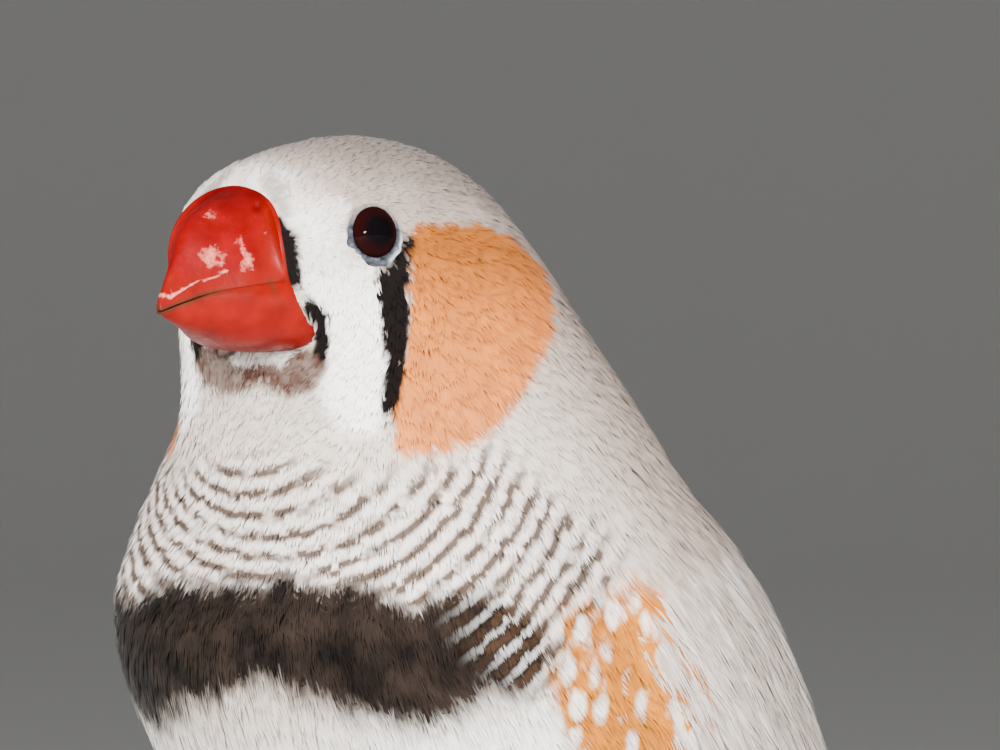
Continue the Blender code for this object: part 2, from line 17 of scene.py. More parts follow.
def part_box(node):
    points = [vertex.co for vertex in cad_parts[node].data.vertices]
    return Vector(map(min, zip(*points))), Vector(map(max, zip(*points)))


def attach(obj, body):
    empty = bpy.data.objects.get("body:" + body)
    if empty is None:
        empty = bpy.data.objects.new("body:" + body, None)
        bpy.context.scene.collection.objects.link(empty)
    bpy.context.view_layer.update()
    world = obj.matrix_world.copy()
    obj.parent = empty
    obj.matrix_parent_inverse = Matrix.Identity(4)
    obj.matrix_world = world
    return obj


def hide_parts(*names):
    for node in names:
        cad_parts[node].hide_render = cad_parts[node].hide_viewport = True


bl_info = {
    "name": "Zebra Finch",
    "version": (1, 0, 0),
    "blender": (4, 5, 0),
    "location": "View3D > Sidebar > Finch",
    "description": "Skin, feathers, bill, eyes and legs of a standing zebra finch",
    "category": "Object",
}

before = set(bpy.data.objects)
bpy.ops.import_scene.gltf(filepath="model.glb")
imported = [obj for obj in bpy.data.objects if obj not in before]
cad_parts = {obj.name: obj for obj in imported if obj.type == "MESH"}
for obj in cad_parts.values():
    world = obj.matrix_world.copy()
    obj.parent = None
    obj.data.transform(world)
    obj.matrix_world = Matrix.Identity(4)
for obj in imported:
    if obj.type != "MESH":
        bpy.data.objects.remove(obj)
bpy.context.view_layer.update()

MM = 0.001
UP = np.array((0.0, 0.0, 1.0))
MIRROR = np.array((-1.0, 1.0, 1.0))

# The body's outline with its feathers on, as in the solids, a little narrower at the brow.
# Each row is a slanting section: back y and z, front y and z, half width, and how low its
# widest place lies.
HEAD = (
    (-3.9, 2.8, -2.0, -7.0, 4.8, 0.0),
    (-2.4, 4.2, -2.1, -8.1, 6.7, 0.0),
    (1.5, 5.3, -2.2, -9.4, 7.8, 0.05),
    (6.0, 5.9, -2.4, -11.0, 8.5, 0.1),
    (11.0, 5.4, -2.7, -12.7, 9.1, 0.15),
    (15.3, 3.8, -3.0, -14.4, 9.8, 0.15),
)
CHEST = (
    (18.8, 1.0, -3.6, -16.3, 10.9, 0.12),
    (22.0, -3.0, -4.6, -18.5, 12.7, 0.1),
    (25.5, -8.0, -5.8, -21.0, 14.6, 0.08),
    (29.2, -13.2, -6.8, -24.2, 16.0, 0.08),
    (33.2, -18.5, -5.8, -28.2, 16.7, 0.08),
    (37.0, -24.0, -2.5, -32.8, 16.9, 0.08),
    (40.3, -29.5, 3.0, -38.2, 16.5, 0.08),
    (43.1, -34.5, 9.5, -43.0, 15.5, 0.06),
)
RUMP = (
    (45.3, -38.5, 18.0, -46.2, 13.5, 0.03),
    (47.3, -41.0, 27.0, -48.2, 10.8, 0.0),
    (49.2, -42.8, 36.0, -49.2, 8.2, 0.0),
    (51.0, -44.2, 44.0, -49.6, 6.2, 0.0),
    (52.9, -45.4, 50.2, -49.7, 4.6, 0.0),
    (54.8, -46.3, 53.6, -49.5, 3.6, 0.0),
)
# Past the rump the coverts run on over the tail's root.
TAIL_COVER = ((58.2, -47.4, 57.0, -50.6, 3.4, 0.0), (62.0, -48.8, 61.0, -52.0, 3.3, 0.0))
BODY = np.array(HEAD + CHEST + RUMP + TAIL_COVER)
BODY_END = len(HEAD + CHEST + RUMP) - 1.0
# Behind the flanks the folded wings hold their own line, wider than the rump.
WING_BED = np.array(HEAD + CHEST + (
    (46.8, -39.0, 18.0, -46.2, 14.4, 0.0),
    (50.8, -42.2, 28.0, -48.6, 12.2, 0.0),
    (55.4, -44.6, 38.0, -51.0, 9.8, 0.0),
    (60.6, -46.8, 48.0, -53.4, 7.8, 0.0),
    (66.0, -48.9, 57.0, -55.4, 6.2, 0.0),
))
SEAT_BULGE = 1.7  # how far the bill's seat stands forward at mid height
# The seat is full at its lower corners, where the jaw widens and lies further back.
JAW_WIDTH = 5.0
JAW_BACK = 1.1
JAW_CORNER = (4.0, 4.3)
JAW_STATIONS = 1.5
GAP = 0.3

# Bill, as in the solids
CULMEN = np.array(((-3.9, 2.8), (-6.4, 1.8), (-8.4, 0.6), (-9.7, -1.5), (-11.15, -4.2)))
TOMIUM = np.array(((-5.2, -3.0), (-6.7, -3.3), (-8.2, -3.7), (-9.7, -4.3), (-11.15, -4.85)))
GONYS = np.array(((-2.0, -7.3), (-5.0, -7.1), (-7.6, -6.3), (-9.6, -5.6), (-11.1, -5.0)))
BILL_HALF_WIDTH = np.array((4.6, 3.3, 1.9, 0.8, 0.18))
NOSTRIL = np.array((2.45, -4.85, 1.5))
UPPER_FULLNESS = 1.3
SEAT_FULLNESS = 0.6  # how much fuller the upper bill is where it meets the head
LOWER_FULLNESS = 0.17

# Eyes, as in the solids
EYE_STATION = 2.0
EYE_ANGLE = 71.5
EYE_HEADING = 70.0
EYE_LIFT = 10.0
EYE_RADIUS = 2.0
EYE_OPENING = 1.6
LID_REACH = 1.72  # from the middle of the eye to the first feathers

# Legs and feet, as in the solids
THIGH_TOP = (8.6, 19.0, -40.0)
THIGH_END = (9.6, 23.6, -49.6)
ANKLE = (10.1, 18.6, -58.9)
SHANK_END = (10.1, 18.4, -60.5)
THIGH_RADII = (6.2, 5.6, 3.9, 2.0)
SHANK_RADII = (1.15, 0.95, 0.95, 1.15)
SCUTE = 1.1  # height of a scute on the shank
TOE_SCUTE = 0.8
BOSS_HEIGHT = 1.7
FLOOR_Z = -62.5
TOE_RADIUS = 0.85
TOES = (  # heading in degrees outwards, length, claw's length and pads
    ("inner", -20.0, 8.2, 3.6, 2),
    ("middle", 6.0, 12.0, 4.2, 3),
    ("outer", 30.0, 8.8, 3.6, 3),
    ("hind", 176.0, 7.2, 4.8, 1),
)

# Tail, as in the solids
TAIL_ROOT = np.array((0.0, 54.2, -47.9))
TAIL_LENGTH = 36.0
TAIL_DROP = 21.0
TAIL_ARCH = 0.02
RECTRICES = 6
RECTRIX_WIDTH = 5.6

# Wings, as in the solids: the edges of the folded wing in degrees round the body, from the
# bend of the wing backwards, and how thick it is.
WING_FROM = 8.7
WING_TO = 15.6
WING_TOP = (54.0, 32.0, 22.0, 16.0, 15.0, 18.0, 26.0)
WING_LOW = (74.0, 84.0, 87.0, 87.0, 84.0, 80.0, 73.0)
WING_THICKNESS = (0.7, 1.0, 1.0, 0.9, 0.8, 0.7, 0.5)
WING_LIFT = 0.45
WING_TIERS = (  # name, count, first and last root, first and last tip, width, lifts
    ("primary", 9, (12.6, 66.0), (12.4, 84.0), (16.3, 30.0), (17.7, 52.0), 4.6, (0.9, 0.65)),
    ("secondary", 6, (12.0, 52.0), (12.0, 76.0), (16.1, 27.0), (15.5, 64.0), 5.4, (0.85, 0.95)),
    ("tertial", 3, (11.2, 34.0), (11.6, 48.0), (14.6, 18.0), (15.9, 36.0), 7.0, (0.85, 1.3)),
    ("covert", 9, (10.3, 42.0), (10.6, 82.0), (12.5, 38.0), (12.9, 79.0), 4.6, (0.4, 1.15)),
)
VANE_TILT = 0.18  # the lower edge stands out, over the next feather down
MANTLE = 0.8  # how much fuller the feathers of back and shoulders stand

# The camera's view: its bearing round the bird, and the middle and width of its frame,
# measured across the view and upwards.
VIEW_AZIMUTH = 40.0
VIEW_MIDDLE = (13.39, -8.66)
VIEW_WIDTH = 60.6
VIEW_DISTANCE = 1400.0

# Edges of the markings on the bird's left, as the camera sees them: mm across the view,
# and up.
CHEEK = (
    (8.2, 0.2), (9.3, 0.55), (11.3, 0.5), (13.4, 0.1), (15.1, -1.1), (16.3, -2.9), (16.75, -4.8),
    (16.3, -7.2), (15.1, -9.6), (13.7, -11.4), (12.1, -12.6), (10.4, -13.35), (8.6, -13.45),
    (7.2, -13.2), (6.8, -11.7), (7.1, -9.9), (7.6, -7.8), (7.9, -5.3), (8.0, -2.9),
)
TEAR = (
    (7.3, -0.6), (8.25, -0.3), (8.1, -1.8), (7.9, -3.2), (8.05, -4.8), (7.85, -6.8), (7.6, -9.0),
    (7.2, -10.9), (6.6, -11.3), (6.2, -10.5), (6.45, -8.4), (6.3, -6.2), (6.05, -4.1),
    (5.95, -2.8), (6.5, -2.2), (7.1, -1.5),
)
BILL_EDGE = (
    (-0.1, 1.2), (0.75, 0.3), (1.15, -0.3), (1.4, -1.5), (1.5, -2.8), (1.55, -3.5), (0.8, -3.6),
    (-0.1, -3.2), (-0.2, -1.8), (-0.2, -0.6), (-0.4, 0.5),
)
GAPE_EDGE = (
    (1.45, -3.9), (2.1, -4.1), (2.8, -4.85), (3.0, -5.9), (3.15, -7.0), (2.8, -7.6), (2.2, -7.3),
    (2.2, -6.5), (1.9, -5.4), (1.5, -4.6),
)
FACE = (
    (1.3, 0.9), (3.1, 1.95), (4.4, 1.6), (4.3, -1.4), (6.0, -2.3), (6.35, -6.5), (6.35, -11.1),
    (5.6, -12.1), (4.0, -11.7), (2.8, -10.2), (3.1, -7.1), (2.6, -4.4), (1.5, -3.6), (1.6, -1.1),
)
# The chin below the bill: its brown is partly the feathers' own colour, partly painted shadow of the bill.
CHIN = (
    (-2.2, -6.9), (1.3, -6.9), (2.6, -7.1), (2.8, -8.3), (2.0, -9.5), (0.7, -9.9), (-1.0, -9.5),
    (-2.1, -9.1),
)
# A pale strip on the chin just under the lower bill: a painted highlight.
CHIN_HIGHLIGHT = (
    (-3.9, -7.2), (-1.5, -7.2), (0.4, -7.4), (0.2, -7.8), (-1.8, -7.9), (-3.7, -7.6),
)
BROW_SMUDGE = (
    (-1.3, 3.3), (-0.5, 3.8), (0.2, 3.1), (0.5, 2.1), (1.0, 1.3), (0.5, 0.9), (-0.5, 1.9),
)
BAND = (
    (-6.6, -21.3), (-4.2, -21.7), (-2.4, -21.4), (0.4, -20.7), (3.2, -20.9), (5.2, -20.9),
    (6.6, -21.7), (8.1, -22.3), (9.3, -21.7), (12.1, -21.7), (13.9, -22.5), (15.3, -23.3),
    (16.9, -24.7), (16.3, -27.1), (14.3, -28.3), (11.3, -29.3), (8.4, -30.1), (5.2, -29.5),
    (3.2, -28.7), (1.2, -28.1), (-1.6, -27.4), (-2.8, -28.3), (-4.2, -29.4), (-6.0, -29.1),
)
BARRED = (
    (-6.0, -15.0), (0.0, -14.0), (5.0, -15.2), (9.0, -14.4), (12.6, -13.4), (15.6, -15.4),
    (18.6, -18.0), (20.4, -21.0), (19.6, -24.0), (16.4, -27.5), (13.0, -26.0), (8.0, -23.0),
    (0.0, -22.5), (-6.0, -22.5),
)
# The flank's edge, by station and degrees round the body
FLANK = (
    (9.6, 84.0), (9.6, 96.0), (9.9, 108.0), (11.0, 112.0), (12.2, 110.0), (13.6, 104.0),
    (15.2, 96.0), (15.0, 90.0), (13.4, 87.0), (12.0, 86.0), (11.0, 80.0), (10.3, 78.0),
)
# Painted highlights on the upper bill: pale patches on its side, and a line along the raised ridge above the mouth
PAINTED_HIGHLIGHTS = (
    ((-4.73, -1.09), (-4.0, -0.6), (-3.2, -1.1), (-3.2, -2.06), (-4.06, -2.2), (-4.6, -1.7)),
    ((-2.4, -0.36), (-2.0, -0.24), (-1.76, -1.2), (-1.34, -1.45), (-1.46, -2.2), (-2.06, -2.4),
     (-2.4, -1.8)),
    ((-4.6, 1.0), (-4.3, 1.4), (-3.9, 1.3), (-3.8, 1.0), (-4.2, 0.8)),
    ((-1.3, -0.1), (-1.0, 0.3), (-0.7, 0.1), (-0.9, -0.3)),
)
HIGHLIT_RIDGE = ((-7.4, -3.7), (-6.5, -4.0), (-5.8, -3.55), (-4.8, -3.0), (-3.9, -2.75), (-2.9, -2.25))

BREAST_TURN = 0.25  # the breast's markings turn with the neck: mm across for each mm ahead
BREAST_TURN_FROM = 8.0
BAR_CENTRE = (0.0, -2.0, -8.0)
BAR_SPACING = 1.3

# Room for each contour feather, and the skin's depth under them, by station
SPACING = ((0, 1, 3, 5, 7, 9, 12, 15, 19), (0.36, 0.38, 0.42, 0.5, 0.58, 0.68, 0.85, 0.95, 0.8))
FEATHER_LENGTH = ((0, 2, 6, 12, 19), (3.6, 4.2, 4.6, 4.6, 5.0))  # in such rooms
SKIN_DEPTH = ((0, 4, 8, 13, 16, 21), (0.2, 0.35, 0.55, 0.65, 0.5, 0.35))


def linear(colour):
    """The linear values of an sRGB hex colour."""
    shares = [int(colour[i:i + 2], 16) / 255 for i in (0, 2, 4)]
    return tuple(x / 12.92 if x <= 0.04045 else ((x + 0.055) / 1.055) ** 2.4 for x in shares)


def colour_prop(name, description, colour):
    return FloatVectorProperty(
        name=name, description=description, default=linear(colour), subtype="COLOR", min=0, max=1
    )


class FinchPlumage(bpy.types.PropertyGroup):
    """Sizes and colours of the feathers."""

    back: colour_prop("Back", "Crown, nape, back and wings", "AA998E")
    throat: colour_prop("Throat", "Throat and upper breast, between the bars", "C2B5AA")
    white: colour_prop("White", "Face, belly and rump", "F6F3EE")
    cheek: colour_prop("Cheek", "The patch behind the eye", "BC6610")
    black: colour_prop("Black", "Tear line and tail coverts", "0E0908")
    band: colour_prop("Band", "The breast band", "1D1612")
    bar: colour_prop("Bar", "Fine bars on the throat", "3C2A1D")
    flank: colour_prop("Flank", "The flank, between its spots", "BE7220")
    chin: colour_prop("Chin", "Below the bill", "4A3228")
    quill: colour_prop("Quill", "Flight feathers", "8E8075")
    tail: colour_prop("Tail", "Tail feathers", "2E2521")
    density: FloatProperty(
        name="Density", description="Feathers for each of the finished bird's", default=1.0,
        min=0.05, max=1.2,
    )
    softness: FloatProperty(
        name="Softness", description="How far feather tips stand out, in mm", default=0.025,
        min=0.0, max=0.5,
    )


class FinchBareParts(bpy.types.PropertyGroup):
    """Colours of the bill, eyes and legs."""

    upper_bill: colour_prop("Upper bill", "Horn of the upper bill", "6E0104")
    lower_bill: colour_prop("Lower bill", "Horn of the lower bill", "720600")
    # Painted highlights: the pale colour of the patches and the ridge line on the upper bill.
    painted_highlight: colour_prop("Highlights", "Worn, glinting horn", "D67C6E")
    iris: colour_prop("Iris", "Ring round the pupil", "1B0504")
    lid: colour_prop("Lids", "Bare rim of the eye", "3A3D45")
    leg: colour_prop("Legs", "Scales of legs and feet", "B5642E")
    claw: colour_prop("Claws", "Horn of the claws", "4A342A")


class FinchStage(bpy.types.PropertyGroup):
    """Floor, lights and camera."""

    floor: colour_prop("Floor", "The plain floor", "D8D6D2")
    key_power: FloatProperty(
        name="Key light", description="Power of the main light", default=18.0, unit="POWER", min=0
    )
    fill_power: FloatProperty(
        name="Fill light", description="Power of the weaker light", default=20.0, unit="POWER", min=0
    )
    spark_power: FloatProperty(
        name="Spark", description="Power of the small light that shines in the eye", default=9.0,
        unit="POWER", min=0,
    )
    sky: FloatProperty(name="Sky", description="Strength of the even light", default=0.35, min=0)


def smooth(table, place):
    """Rows of a table at places along it, on a smooth curve through every entry."""
    place = np.asarray(place, float)
    last = len(table) - 1
    start = np.clip(np.floor(place).astype(int), 0, last - 1)
    t = (place - start)[..., None] if table.ndim > 1 else place - start
    before, here, after, beyond = (table[np.clip(start + step, 0, last)] for step in (-1, 0, 1, 2))
    return 0.5 * (
        2 * here
        + (after - before) * t
        + (2 * before - 5 * here + 4 * after - beyond) * t * t
        + (3 * here - before - 3 * after + beyond) * t * t * t
    )


def ramp(value, start, end):
    """From 0 at start to 1 at end, eased at both."""
    share = np.clip((value - start) / (end - start), 0, 1)
    return share * share * (3 - 2 * share)


def unit(vectors):
    return vectors / np.maximum(np.linalg.norm(vectors, axis=-1, keepdims=True), 1e-9)


def dot(first, second):
    return (first * second).sum(-1)


def laid(colour, over, amount):
    """One colour over another, by an amount from 0 to 1 at each point."""
    return colour + (over - colour) * np.clip(amount, 0, 1)[..., None]


def fold(degrees):
    """Degrees round the body from the back, alike on both sides."""
    turned = np.asarray(degrees) % 360
    return np.where(turned > 180, 360 - turned, turned)


def seat_y(z):
    """Where the bill's curved seat stands at a height, in the bird's middle plane."""
    back_y, back_z, front_y, front_z = HEAD[0][:4]
    along = (z - (back_z + front_z) / 2) / ((back_z - front_z) / 2)
    lean = along * (back_y - front_y) / 2
    return (back_y + front_y) / 2 + lean - SEAT_BULGE * (1 - along * along)


def jaw_back(x, z):
    """How much further back the seat stands towards its lower corners."""
    middle = (HEAD[0][1] + HEAD[0][3]) / 2
    across = np.minimum(1.0, np.abs(x) / JAW_CORNER[0])
    below = np.clip((middle - z) / JAW_CORNER[1], 0, 1)
    return JAW_BACK * (across * below) ** 2


def section_point(table, place, degrees):
    """A point of the body's outline, also on its right side, past 180 degrees."""
    place = np.clip(place, 0, len(table) - 1)
    back_y, back_z, front_y, front_z, half_width, low = np.moveaxis(smooth(table, place), -1, 0)
    angle = np.radians(degrees)
    along = np.cos(angle) - low * np.sin(angle) ** 2
    seat = SEAT_BULGE * (1 - along * along) * np.maximum(0, 1 - place) ** 2
    jaw = np.maximum(0, 1 - place / JAW_STATIONS) ** 2
    x = (half_width + JAW_WIDTH * jaw * np.maximum(0, -np.cos(angle)) ** 3) * np.sin(angle)
    y = (back_y + front_y) / 2 + along * (back_y - front_y) / 2
    z = (back_z + front_z) / 2 + along * (back_z - front_z) / 2
    return np.stack((x, y - seat + jaw_back(x, z) * jaw, z), -1)


def section_out(table, place, degrees):
    """The direction straight out of the outline."""
    step = 0.05
    middle = np.clip(place, step, len(table) - 1 - step)
    along = section_point(table, middle + step, degrees) - section_point(table, middle - step, degrees)
    turn = section_point(table, place, degrees + 1) - section_point(table, place, degrees - 1)
    return unit(np.cross(turn, along))


def body_surface(place, degrees, lift):
    point = section_point(BODY, place, degrees)
    return point + section_out(BODY, place, degrees) * np.asarray(lift)[..., None]


def mantle(place, folded):
    """How far the full feathers of back and shoulders stand off the outline."""
    return MANTLE * ramp(place, 7.0, 10.0) * ramp(place, 17.0, 13.0) * ramp(folded, 90, 70)


def wing_bed(place, degrees, lift):
    point = section_point(WING_BED, place, degrees)
    lift = lift + mantle(place, degrees)
    return point + section_out(WING_BED, place, degrees) * lift[..., None]


def wing_span(place):
    """The folded wing's upper and lower edge and its thickness at a station."""
    knot = np.clip((place - WING_FROM) / (WING_TO - WING_FROM), 0, 1) * (len(WING_TOP) - 1)
    knots = np.arange(len(WING_TOP))
    return tuple(np.interp(knot, knots, row) for row in (WING_TOP, WING_LOW, WING_THICKNESS))


def wing_shell(place, folded):
    """How far the folded wing stands off the body; it thins towards its edges."""
    top, low, thickness = wing_span(place)
    across = np.clip((folded - top) / (low - top), 0, 1)
    crown = 0.5 + 0.5 * np.sin(np.pi * across) ** 0.8
    shell = (WING_LIFT + thickness * crown) * ramp(place, 8.4, 11.0)
    return shell * ramp(folded, top - 9, top + 2) * ramp(folded, low + 7, low - 1)


def wing_surface(place, degrees, lift):
    return wing_bed(place, degrees, wing_shell(place, degrees) + lift)


def coat_surface(place, degrees, lift):
    """The outline that body feathers lie on, also where they run over the wing's front."""
    folded = fold(degrees)
    over = mantle(place, folded) + wing_shell(place, folded) * ramp(place, 13.5, 11.5)
    return body_surface(place, degrees, lift + over)


def tail_surface(along, across, lift):
    """A point of the tail's own sheet, which falls backwards and sinks at its sides."""
    drop = math.radians(TAIL_DROP)
    back = np.array((0.0, math.cos(drop), -math.sin(drop)))
    up = np.array((0.0, math.sin(drop), math.cos(drop)))
    side = np.array((1.0, 0.0, 0.0))
    rise = np.asarray(lift - TAIL_ARCH * across * across)
    along, across = np.broadcast_arrays(along, across)
    return TAIL_ROOT + back * along[..., None] + side * across[..., None] + up * rise[..., None]


def over_tail(along, across, lift):
    return tail_surface(along, across, lift + 0.55)


def under_tail(along, across, lift):
    return tail_surface(along, -across, -lift - 1.2 * ramp(along, 16, 2) - 0.5)


def thigh_surface(share, degrees, lift):
    """The outside of the left thigh's feathers: share of its length, and degrees round it."""
    centres = np.linspace(THIGH_TOP, THIGH_END, 4)
    knot = np.clip(share, 0, 1) * 3
    ahead = unit(centres[3] - centres[0])
    right = unit(np.cross(ahead, np.array((0.0, 1.0, 0.3))))
    front = np.cross(right, ahead)
    angle = np.radians(degrees)
    spoke = right * np.sin(angle)[..., None] + front * np.cos(angle)[..., None]
    beyond = ahead * (np.maximum(0, share - 1) * 10.7)[..., None]
    reach = smooth(np.array(THIGH_RADII), knot) + lift
    return smooth(centres, knot) + beyond + spoke * reach[..., None]


def surface_out(surface, place, degrees):
    """The direction straight out of any of these surfaces."""
    zero = np.zeros(np.shape(place))
    along = surface(place + 0.02, degrees, zero) - surface(place - 0.02, degrees, zero)
    turn = surface(place, degrees + 0.5, zero) - surface(place, degrees - 0.5, zero)
    return unit(np.cross(turn, along))


def mottle(points, size, seed):
    """Smooth random values from -1 to 1, in blots of a size in mm."""
    cell = np.floor(points / size).astype(np.int64)
    part = points / size - cell
    part = part * part * (3 - 2 * part)
    total = 0.0
    for corner in np.ndindex(2, 2, 2):
        x, y, z = np.moveaxis(cell + np.array(corner), -1, 0)
        value = (x * 73856093 ^ y * 19349663 ^ z * 83492791 ^ seed * 2654435761) & 0xFFFFFFFF
        value = (value ^ value >> 15) * 2246822519 & 0xFFFFFFFF
        value = (value ^ value >> 13) * 3266489917 & 0xFFFFFFFF
        weight = np.prod(np.where(corner, part, 1 - part), axis=-1)
        total = total + weight * (value / 0x7FFFFFFF - 1)
    return total


def inside(outline, across, up):
    """How far inside a rounded outline each place lies; it is negative outside."""
    corners = np.array(outline)
    loop = np.concatenate((corners[-1:], corners, corners[:2]))
    curve = smooth(loop, np.arange(0, len(corners), 0.34) + 1)
    (left, low), (right, high) = corners.min(0) - 2, corners.max(0) + 2
    near = (across > left) & (across < right) & (up > low) & (up < high)
    found = np.full(np.shape(across), -2.0)
    across, up = across[near], up[near]
    nearest = np.full(across.shape, np.inf)
    within = np.zeros(across.shape, bool)
    for (a, b), (c, d) in zip(curve, np.roll(curve, -1, axis=0)):
        length = max((c - a) ** 2 + (d - b) ** 2, 1e-9)
        share = np.clip(((across - a) * (c - a) + (up - b) * (d - b)) / length, 0, 1)
        nearest = np.minimum(nearest, np.hypot(across - a - share * (c - a), up - b - share * (d - b)))
        if b != d:
            within ^= ((b > up) != (d > up)) & (across < (c - a) * (up - b) / (d - b) + a)
    found[near] = np.where(within, nearest, -nearest)
    return found


def across_view(points):
    """Where points lie across the camera's view, as if on the bird's left."""
    turn = math.radians(VIEW_AZIMUTH)
    return np.abs(points[..., 0]) * math.cos(turn) + points[..., 1] * math.sin(turn)


def markings(points, out, place, degrees):
    """Colours, bar phase, bar strength and spot strength of the plumage at places."""
    colours = bpy.context.scene.finch_plumage
    shade = {name: np.array(getattr(colours, name)) for name in (
        "back", "throat", "white", "cheek", "black", "band", "flank", "chin"
    )}
    x, y, z = np.moveaxis(points, -1, 0)
    ahead = np.maximum(0.0, BREAST_TURN_FROM - y)
    middle = BREAST_TURN * ahead * ramp(place, 5.0, 8.0)
    side = np.where(x < middle, -1.0, 1.0)
    across_body = np.abs(x - middle)
    turn = math.radians(VIEW_AZIMUTH)
    across = (across_body + middle) * math.cos(turn) + y * math.sin(turn)
    facing = out[..., 0] * side * math.sin(turn) - out[..., 1] * math.cos(turn)
    seen = ramp(facing, -0.1, 0.1)
    folded = fold(degrees)
    ragged = mottle(points, 0.45, 3) * 0.16 + mottle(points, 1.5, 4) * 0.2

    def patch(outline, soft, rough=1.0):
        return ramp(inside(outline, across, z) + ragged * rough, -soft, soft) * seen

    colour = laid(np.broadcast_to(shade["back"], points.shape), shade["throat"], ramp(folded, 62, 92))
    fade = 1 + 0.07 * mottle(points, 2.2, 5) + 0.07 * mottle(points, 0.7, 6)
    # Crown, nape and back darker towards the top, most on the head: partly the plumage's own colour, partly painted
    # shade.
    crown_colour_and_shade = ramp(folded + 7 * mottle(points, 1.1, 15), 70, 22) * ramp(place, 0.8, 2.8)
    fade = fade * (1 - 0.55 * crown_colour_and_shade * (0.45 + 0.55 * ramp(place, 10.0, 6.5)))
    colour = colour * fade[..., None]
    belly = ramp(place, 10.2, 11.2) * ramp(folded, 100, 118)
    belly = belly + ramp(place, 13.0, 15.0) * ramp(folded, 60, 90) + ramp(place, 14.2, 15.4)
    brow = ramp(place, 1.6, 0.2) * ramp(folded, 95, 60) * (0.6 + 0.3 * mottle(points, 0.9, 14))
    colour = laid(colour, shade["white"], belly)
    colour = laid(colour, shade["white"], brow)
    colour = laid(colour, shade["white"], patch(FACE, 0.7) * (0.4 + 0.4 * ramp(z, -1.5, -4.0)))
    colour = laid(colour, shade["white"], patch(FACE, 0.4) * ramp(z, -2.0, -5.0))
    blotted = 0.92 + 0.2 * mottle(points, 0.8, 12)
    # The chin's brown is partly painted shadow of the bill.
    colour = laid(colour, shade["chin"], patch(CHIN, 0.35) * blotted + patch(BROW_SMUDGE, 0.3) * 0.7 * blotted)
    # Painted highlight under the lower bill.
    colour = laid(colour, shade["white"], patch(CHIN_HIGHLIGHT, 0.25) * 0.8)
    cheek_fade = 1 + 0.12 * mottle(points, 1.1, 7) + 0.1 * mottle(points, 0.5, 8)
    cheek = shade["cheek"] * cheek_fade[..., None]
    cheek = laid(cheek, shade["white"], 0.01 - 0.0025 * z) * (1 - 0.38 * ramp(z, -6, 0))[..., None]
    colour = laid(colour, cheek, patch(CHEEK, 0.18, 0.8))
    for outline in (TEAR, BILL_EDGE, GAPE_EDGE):
        colour = laid(colour, shade["black"], patch(outline, 0.1, 0.6))
    band = patch(BAND, 0.7, 2.6)
    band_fade = 1 + 0.9 * mottle(points, 1.5, 9) + 0.5 * mottle(points, 0.6, 10)
    colour = laid(colour, shade["band"] * np.maximum(band_fade, 0.2)[..., None], band)
    flank_distance = inside([(a * 3.0, b * 0.28) for a, b in FLANK], place * 3.0, folded * 0.28)
    torn = ragged * 1.5 + mottle(points, 0.9, 13) * ramp(folded, 80, 66)
    flank = ramp(flank_distance + torn, -0.4, 0.4) * (1 - band)
    orange = shade["flank"] * (1 + 0.15 * mottle(points, 1.0, 11))[..., None]
    colour = laid(colour, orange, flank)
    coverts = ramp(place, 17.2, 17.8) * ramp(folded, 110, 70)
    stripes = np.cos(place * 2 * math.pi / 0.8) * 0.5 + 0.5
    striped = laid(np.broadcast_to(shade["black"], points.shape), shade["white"], ramp(stripes, 0.6, 0.75))
    colour = laid(colour, striped, coverts)

    reach = np.sqrt(across_body ** 2 + (y - BAR_CENTRE[1]) ** 2 + (z - BAR_CENTRE[2]) ** 2)
    barred = ramp(inside(BARRED, across, z), -1.6, 1.2) * ramp(facing, -0.25, 0.1)
    bars = barred * (1 - flank * 0.6) * (1 - ramp(patch(CHEEK, 0.3), 0.2, 0.8))
    bars = bars * (0.7 + 0.3 * ramp(z, -15.0, -20.5)) * (1 - band * ramp(across, 15.0, 9.0))
    return colour, reach / BAR_SPACING, bars, flank


def piece_from(name, points, faces, finish, maps=None, values=None, lie=None, firm=0.3):
    """A mesh object of points in mm and faces of equal count, with its maps and values.

    lie gives directions that the shading follows, and firm how much it keeps of its own.
    """
    points = np.asarray(points, float).reshape(-1, 3)
    faces = np.asarray(faces, np.int32)
    mesh = bpy.data.meshes.new(name)
    mesh.vertices.add(len(points))
    mesh.vertices.foreach_set("co", ((points + BODY_SHIFT) * MM).astype(np.float32).ravel())
    mesh.loops.add(faces.size)
    mesh.loops.foreach_set("vertex_index", faces.ravel())
    mesh.polygons.add(len(faces))
    mesh.polygons.foreach_set("loop_start", np.arange(len(faces), dtype=np.int32) * faces.shape[1])
    mesh.update(calc_edges=True)
    for label, places in (maps or {}).items():
        layer = mesh.uv_layers.new(name=label, do_init=False)
        flat = np.asarray(places, np.float32).reshape(-1, 2)
        layer.uv.foreach_set("vector", flat[faces.ravel()].ravel())
    for label, found in (values or {}).items():
        found = np.asarray(found, np.float32).reshape(-1, 3)
        kind = "FLOAT_COLOR" if label == "plumage" else "FLOAT_VECTOR"
        if kind == "FLOAT_COLOR":
            found = np.concatenate((found, np.ones((len(found), 1), np.float32)), 1)
        layer = mesh.attributes.new(label, kind, "POINT")
        layer.data.foreach_set("color" if kind == "FLOAT_COLOR" else "vector", found.ravel())
    mesh.shade_smooth()
    if lie is not None:
        own = np.empty(len(points) * 3, np.float32)
        mesh.vertex_normals.foreach_get("vector", own)
        blended = unit(np.asarray(lie).reshape(-1, 3) * (1 - firm) + own.reshape(-1, 3) * firm)
        mesh.normals_split_custom_set_from_vertices(blended)
    piece = bpy.data.objects.new(name, mesh)
    bpy.context.scene.collection.objects.link(piece)
    mesh.materials.append(finish)
    return piece


def settle(piece, slot, *nodes):
    """Let a piece ride on the bird and stand for solids; its slot is not used."""
    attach(piece, "root")
    if nodes:
        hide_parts(*nodes)


